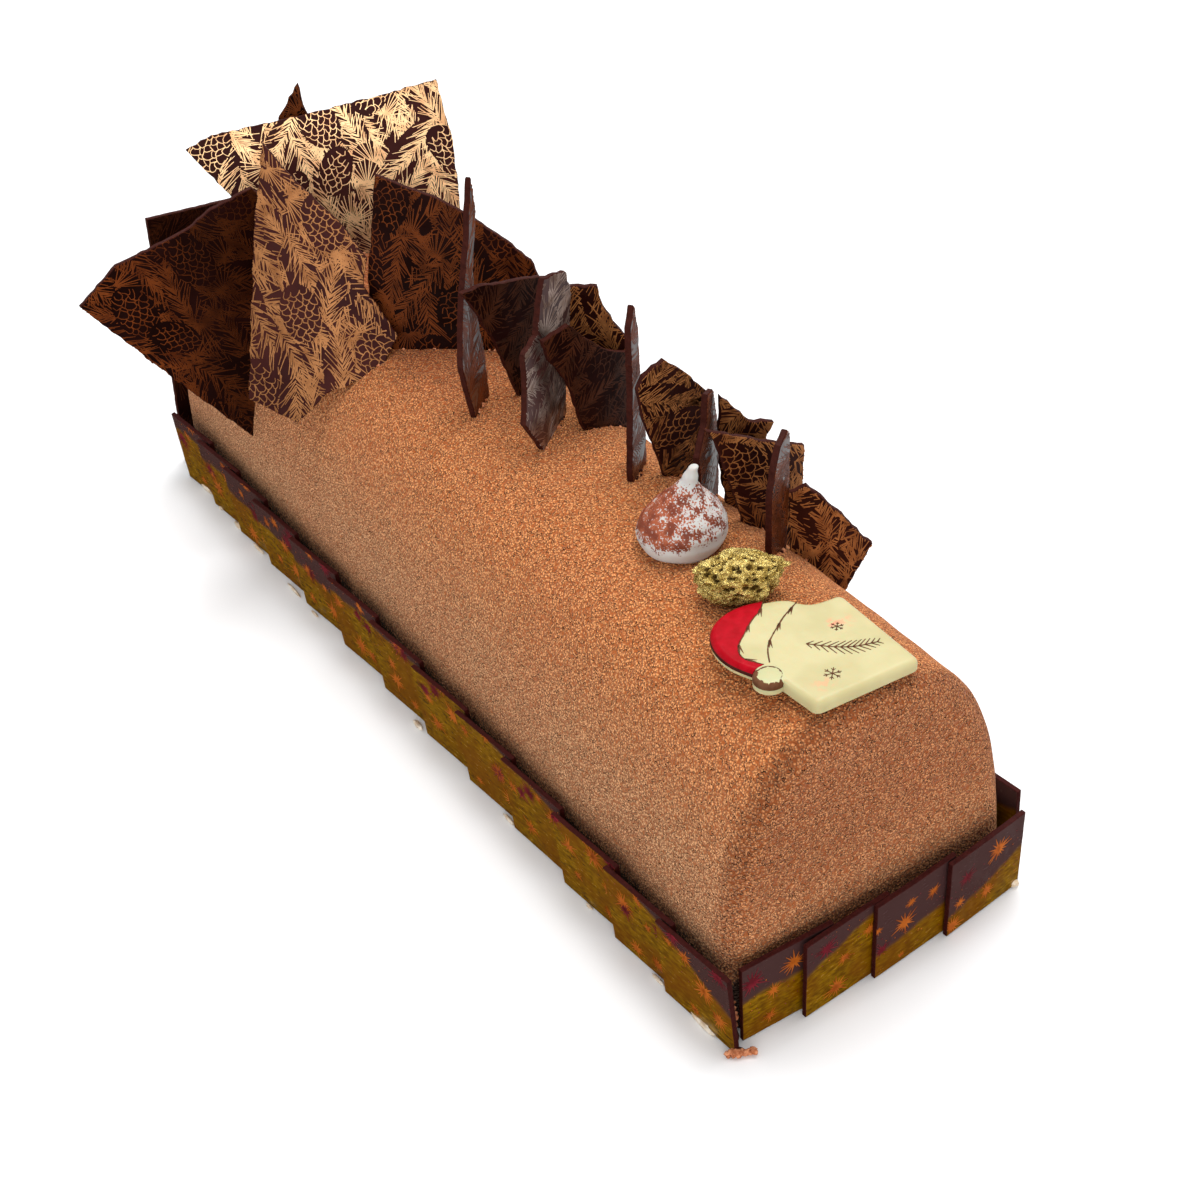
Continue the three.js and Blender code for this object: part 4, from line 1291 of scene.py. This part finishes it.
def pompom():
    """A dome: a profile turned round its axis. Faces outside a ragged circle are the dark rim."""
    quarter = np.linspace(0, math.pi / 2, 12)
    radius = np.concatenate([[3.3, 3.54, 3.56], 2.2 + 1.36 * np.cos(quarter), [1.4, 0.7]])
    level = np.concatenate([[0.6, 0.75, 1.2], 1.75 + 1.13 * np.sin(quarter), [2.93, 2.96]])
    around = np.linspace(0, 2 * math.pi, 90, endpoint=False)
    rings = radius[:, None, None] * unit(around) + POMPOM_AT
    rings = np.stack([at_height(ring, z) for ring, z in zip(rings, level)])
    points, quads, fans = skin(rings, [*POMPOM_AT, 0.6], [*POMPOM_AT, 2.97])
    middle = points[quads].mean(1)
    out = middle[:, :2] - POMPOM_AT
    angle = np.arctan2(out[:, 1], out[:, 0])
    ragged = 2.55 + 0.14 * np.sin(7 * angle + 1) + 0.08 * np.sin(17 * angle)
    dark = (np.hypot(*(out - [0.30, -0.16]).T) > ragged) & (middle[:, 2] > 1.2)
    return points, quads[~dark], fans, quads[dark]


line_draw = np.random.default_rng(3)
body = slab(plaque_outline, 0, PLAQUE_THICK, PLAQUE_ROUND)
outer_line, inner_line = even_line(back_of_red, 90), even_line(torn_red, 90)
dark = layer_between(grown(outer_line, 0.24), inner_line, 0.95, 1.75, 0.2)
red = layer_between(grown(outer_line, 0.14), inner_line, 1.5, PLAQUE_THICK + 0.05, 1.35)
stem = flowing([[-3.4, -3.2], [0.4, 0.6], [3.0, 4.6], [4.4, 9.4]], 12)
stem_way = unit_rows(np.gradient(stem, axis=0))
needle_reach = (2.6 * np.sin(np.linspace(0.5, 2.8, 12)) + 0.4)[:, None]
drawn = [fur_line(torn_red, line_draw), fur_line(torn_fur, line_draw),
         as_strokes(stem[:-1], stem[1:], 0.3, 0.3)]
for hand in (-1, 1):
    needle_tip = stem + (stem_way * 0.8 + left_of(stem_way) * hand * 0.75) * needle_reach
    drawn.append(as_strokes(stem, needle_tip, 0.34, 0.16))
for flake_at, flake_size in (((7.6, -4.6), 2.0), ((-4.6, 5.6), 1.5)):
    spokes = np.arange(6) * math.pi / 3 + 0.3
    drawn.append(as_strokes(flake_at, flake_at + unit(spokes) * flake_size, 0.26, 0.2))
    barb = flake_at + unit(spokes) * flake_size * 0.55
    for swing in (-0.7, 0.7):
        drawn.append(as_strokes(barb, barb + unit(spokes + swing) * flake_size * 0.36, 0.2, 0.16))
drawn = np.concatenate(drawn)
drawn_points = stroke_boxes(drawn, 0.05).reshape(-1, 3) + [0, 0, PLAQUE_THICK]
parts = [body, dark, red, pompom(), (drawn_points, box_faces(len(drawn), 0))]
starts = np.cumsum([0] + [len(part[0]) for part in parts])
faces = [face + start for part, start in zip(parts, starts) for face in part[1:]]
points = np.concatenate([part[0] for part in parts])
plaque = make_piece("cast_plaque", on_plaque(points), faces,
                    [ivory, dark_line, red_butter, brown_line], [0, 0, 1, 1, 2, 2, 0, 0, 3, 3],
                    sharp=50)
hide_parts("plaque")
print("plaque faces", len(plaque.data.polygons))

# %% [markdown]
# Small traces of the making: dabs of cream that were squeezed out at the foot of the skirt, and
# crumbs where the shards went in. Each is a small uneven lump, a ball of few faces whose points
# are moved, and one object holds all the lumps of a kind.

# %% Lumps
def lumps_piece(name, at, half_size, rings, around, material, draw):
    """One lump at each point: a ball of rings of points, scaled by the lump's three half sizes,
    with its points moved by up to a fifth."""
    level = np.linspace(-math.pi / 2, math.pi / 2, rings + 2)[1:-1, None]
    angle = np.arange(around) * 2 * math.pi / around
    ball = np.stack([np.cos(level) * np.cos(angle), np.cos(level) * np.sin(angle),
                     np.sin(level) + 0 * angle], -1)
    ball_points, quads, fans = skin(ball, [0, 0, -1], [0, 0, 1])
    moved = ball_points + draw.uniform(-0.2, 0.2, (len(at), len(ball_points), 3))
    points = (moved * half_size[:, None] + at[:, None]).reshape(-1, 3)
    points[:, 2] = np.maximum(points[:, 2], 0)
    shift = (np.arange(len(at)) * len(ball_points))[:, None, None]
    faces = [(quads + shift).reshape(-1, 4), (fans + shift).reshape(-1, 3)]
    return make_piece(name, points, faces, [material], sharp=60)


# %% Cream dabs
cream = two_toned("cream", (214, 190, 160), (236, 224, 206), (500.0, 3.0, 0.35, 0.65),
                  (900.0, 2.0, 0.0002), Roughness=0.5, Specular_IOR_Level=0.3)
DABS = np.array([  # place along and across, then half length, half width and height
    [-130.5, -43.2, 4.0, 0.7, 1.5], [-117.5, -44.2, 1.0, 0.5, 0.8], [-105.0, -43.9, 2.6, 0.7, 1.3],
    [-90.5, -44.1, 3.2, 0.5, 0.8], [-65.0, -44.8, 4.0, 0.4, 0.7], [-51.0, -45.0, 2.0, 0.4, 0.6],
    [10.0, -44.9, 2.2, 0.7, 1.2], [55.5, -44.1, 2.6, 0.5, 0.8], [92.5, -44.0, 1.4, 0.4, 0.6],
    [121.0, -43.8, 2.2, 0.5, 0.7], [137.5, -43.3, 4.4, 0.7, 1.5], [147.8, 38.7, 1.4, 1.2, 2.0],
])
dab_at = np.column_stack([DABS[:, :2], DABS[:, 4] * 0.4])
lumps_piece("cream_dabs", dab_at, DABS[:, 2:] * [1, 1, 0.6], 7, 14, cream,
            np.random.default_rng(17))
print("cream dabs", len(DABS))

# %% Crumbs
crumb_coat = two_toned("crumb_coat", (170, 98, 62), (222, 152, 112), (900.0, 3.0, 0.35, 0.65),
                       (1500.0, 2.0, 0.0004), Roughness=0.9, Specular_IOR_Level=0.1)


def log_top(y):
    """The height of the coat above a point that lies y from the log's middle line."""
    return LOG_HEIGHT * (1 - np.minimum(np.abs(y) / (LOG_WIDTH / 2), 1) ** LOG_ROUNDNESS) ** (
        1 / LOG_ROUNDNESS)


def along_entry(name, count, draw):
    """Points on the coat beside a shard: for places across it, the lowest point up the sheet
    that is above the coat, moved off the sheet to either side."""
    place_points, outline = placed[name]
    low, high = outline.min(0), outline.max(0)
    across = draw.uniform(low[0] + 1, low[0] + (high[0] - low[0]) * 0.9, count)
    up = np.linspace(-20, 40, 241)
    away = draw.choice([-1, 1], count) * draw.uniform(0.9, 1.7, count)
    grid = np.stack(np.broadcast_arrays(across[:, None], up, away[:, None]), -1)
    inside_edge = inside(grid[..., :2], outline)
    real = place_points(grid.reshape(-1, 3)).reshape(grid.shape)
    clear = (real[..., 2] > log_top(real[..., 1])) & inside_edge
    first = np.argmax(clear, axis=1)
    found = clear.any(axis=1) & (first > 0)
    near = np.take_along_axis(inside_edge, np.maximum(first - 4, 0)[:, None], 1)[:, 0]
    return real[np.arange(count), first][found & near]


crumb_draw = np.random.default_rng(29)
entry = np.concatenate([along_entry(n, 26 if "big" in n else 12, crumb_draw)
                        for n in placed if n != "back_sheet"])
foot_line = crumb_draw.uniform(0, 1, (46, 1))
foot = np.array([147.6, -44.6, 0.9]) + foot_line * [3.4, 5.6, 0]
foot += crumb_draw.uniform(-1, 1, foot.shape) * [0.5, 0.5, 0.7]
slot_line = crumb_draw.uniform(0, 1, (16, 1))
slot_crumbs = np.array([145.4, -40.4, 1.0]) + slot_line * [-1.6, 1.6, 9.5]
slot_crumbs += crumb_draw.uniform(-0.5, 0.5, slot_crumbs.shape)
crumb_at = np.concatenate([entry, foot, slot_crumbs])
crumb_size = crumb_draw.uniform(0.22, 0.62, (len(crumb_at), 1)) * [1, 1, 0.8]
crumb_size[len(entry):] *= 1.35
is_dark = crumb_draw.uniform(0, 1, len(crumb_at)) < 0.3
is_dark[len(entry):] = False
lumps_piece("coat_crumbs", crumb_at[~is_dark], crumb_size[~is_dark], 3, 6, crumb_coat, crumb_draw)
CORNER = np.array([  # broken bits in the open corner of the skirt: place, then half sizes
    [145.2, -40.3, 1.5, 1.5, 1.4, 2.4], [146.6, -41.2, 0.9, 1.3, 1.0, 1.6],
    [147.9, -41.9, 0.5, 1.1, 0.9, 0.9], [148.6, -40.9, 0.4, 0.9, 1.0, 0.7],
    [148.4, -42.9, 0.4, 0.8, 0.9, 0.6],
])
dark_at = np.concatenate([crumb_at[is_dark], CORNER[:, :3]])
dark_size = np.concatenate([crumb_size[is_dark] * 0.8, CORNER[:, 3:]])
lumps_piece("chocolate_crumbs", dark_at, dark_size, 3, 6, broken_edge, crumb_draw)
print("crumbs", len(crumb_at))
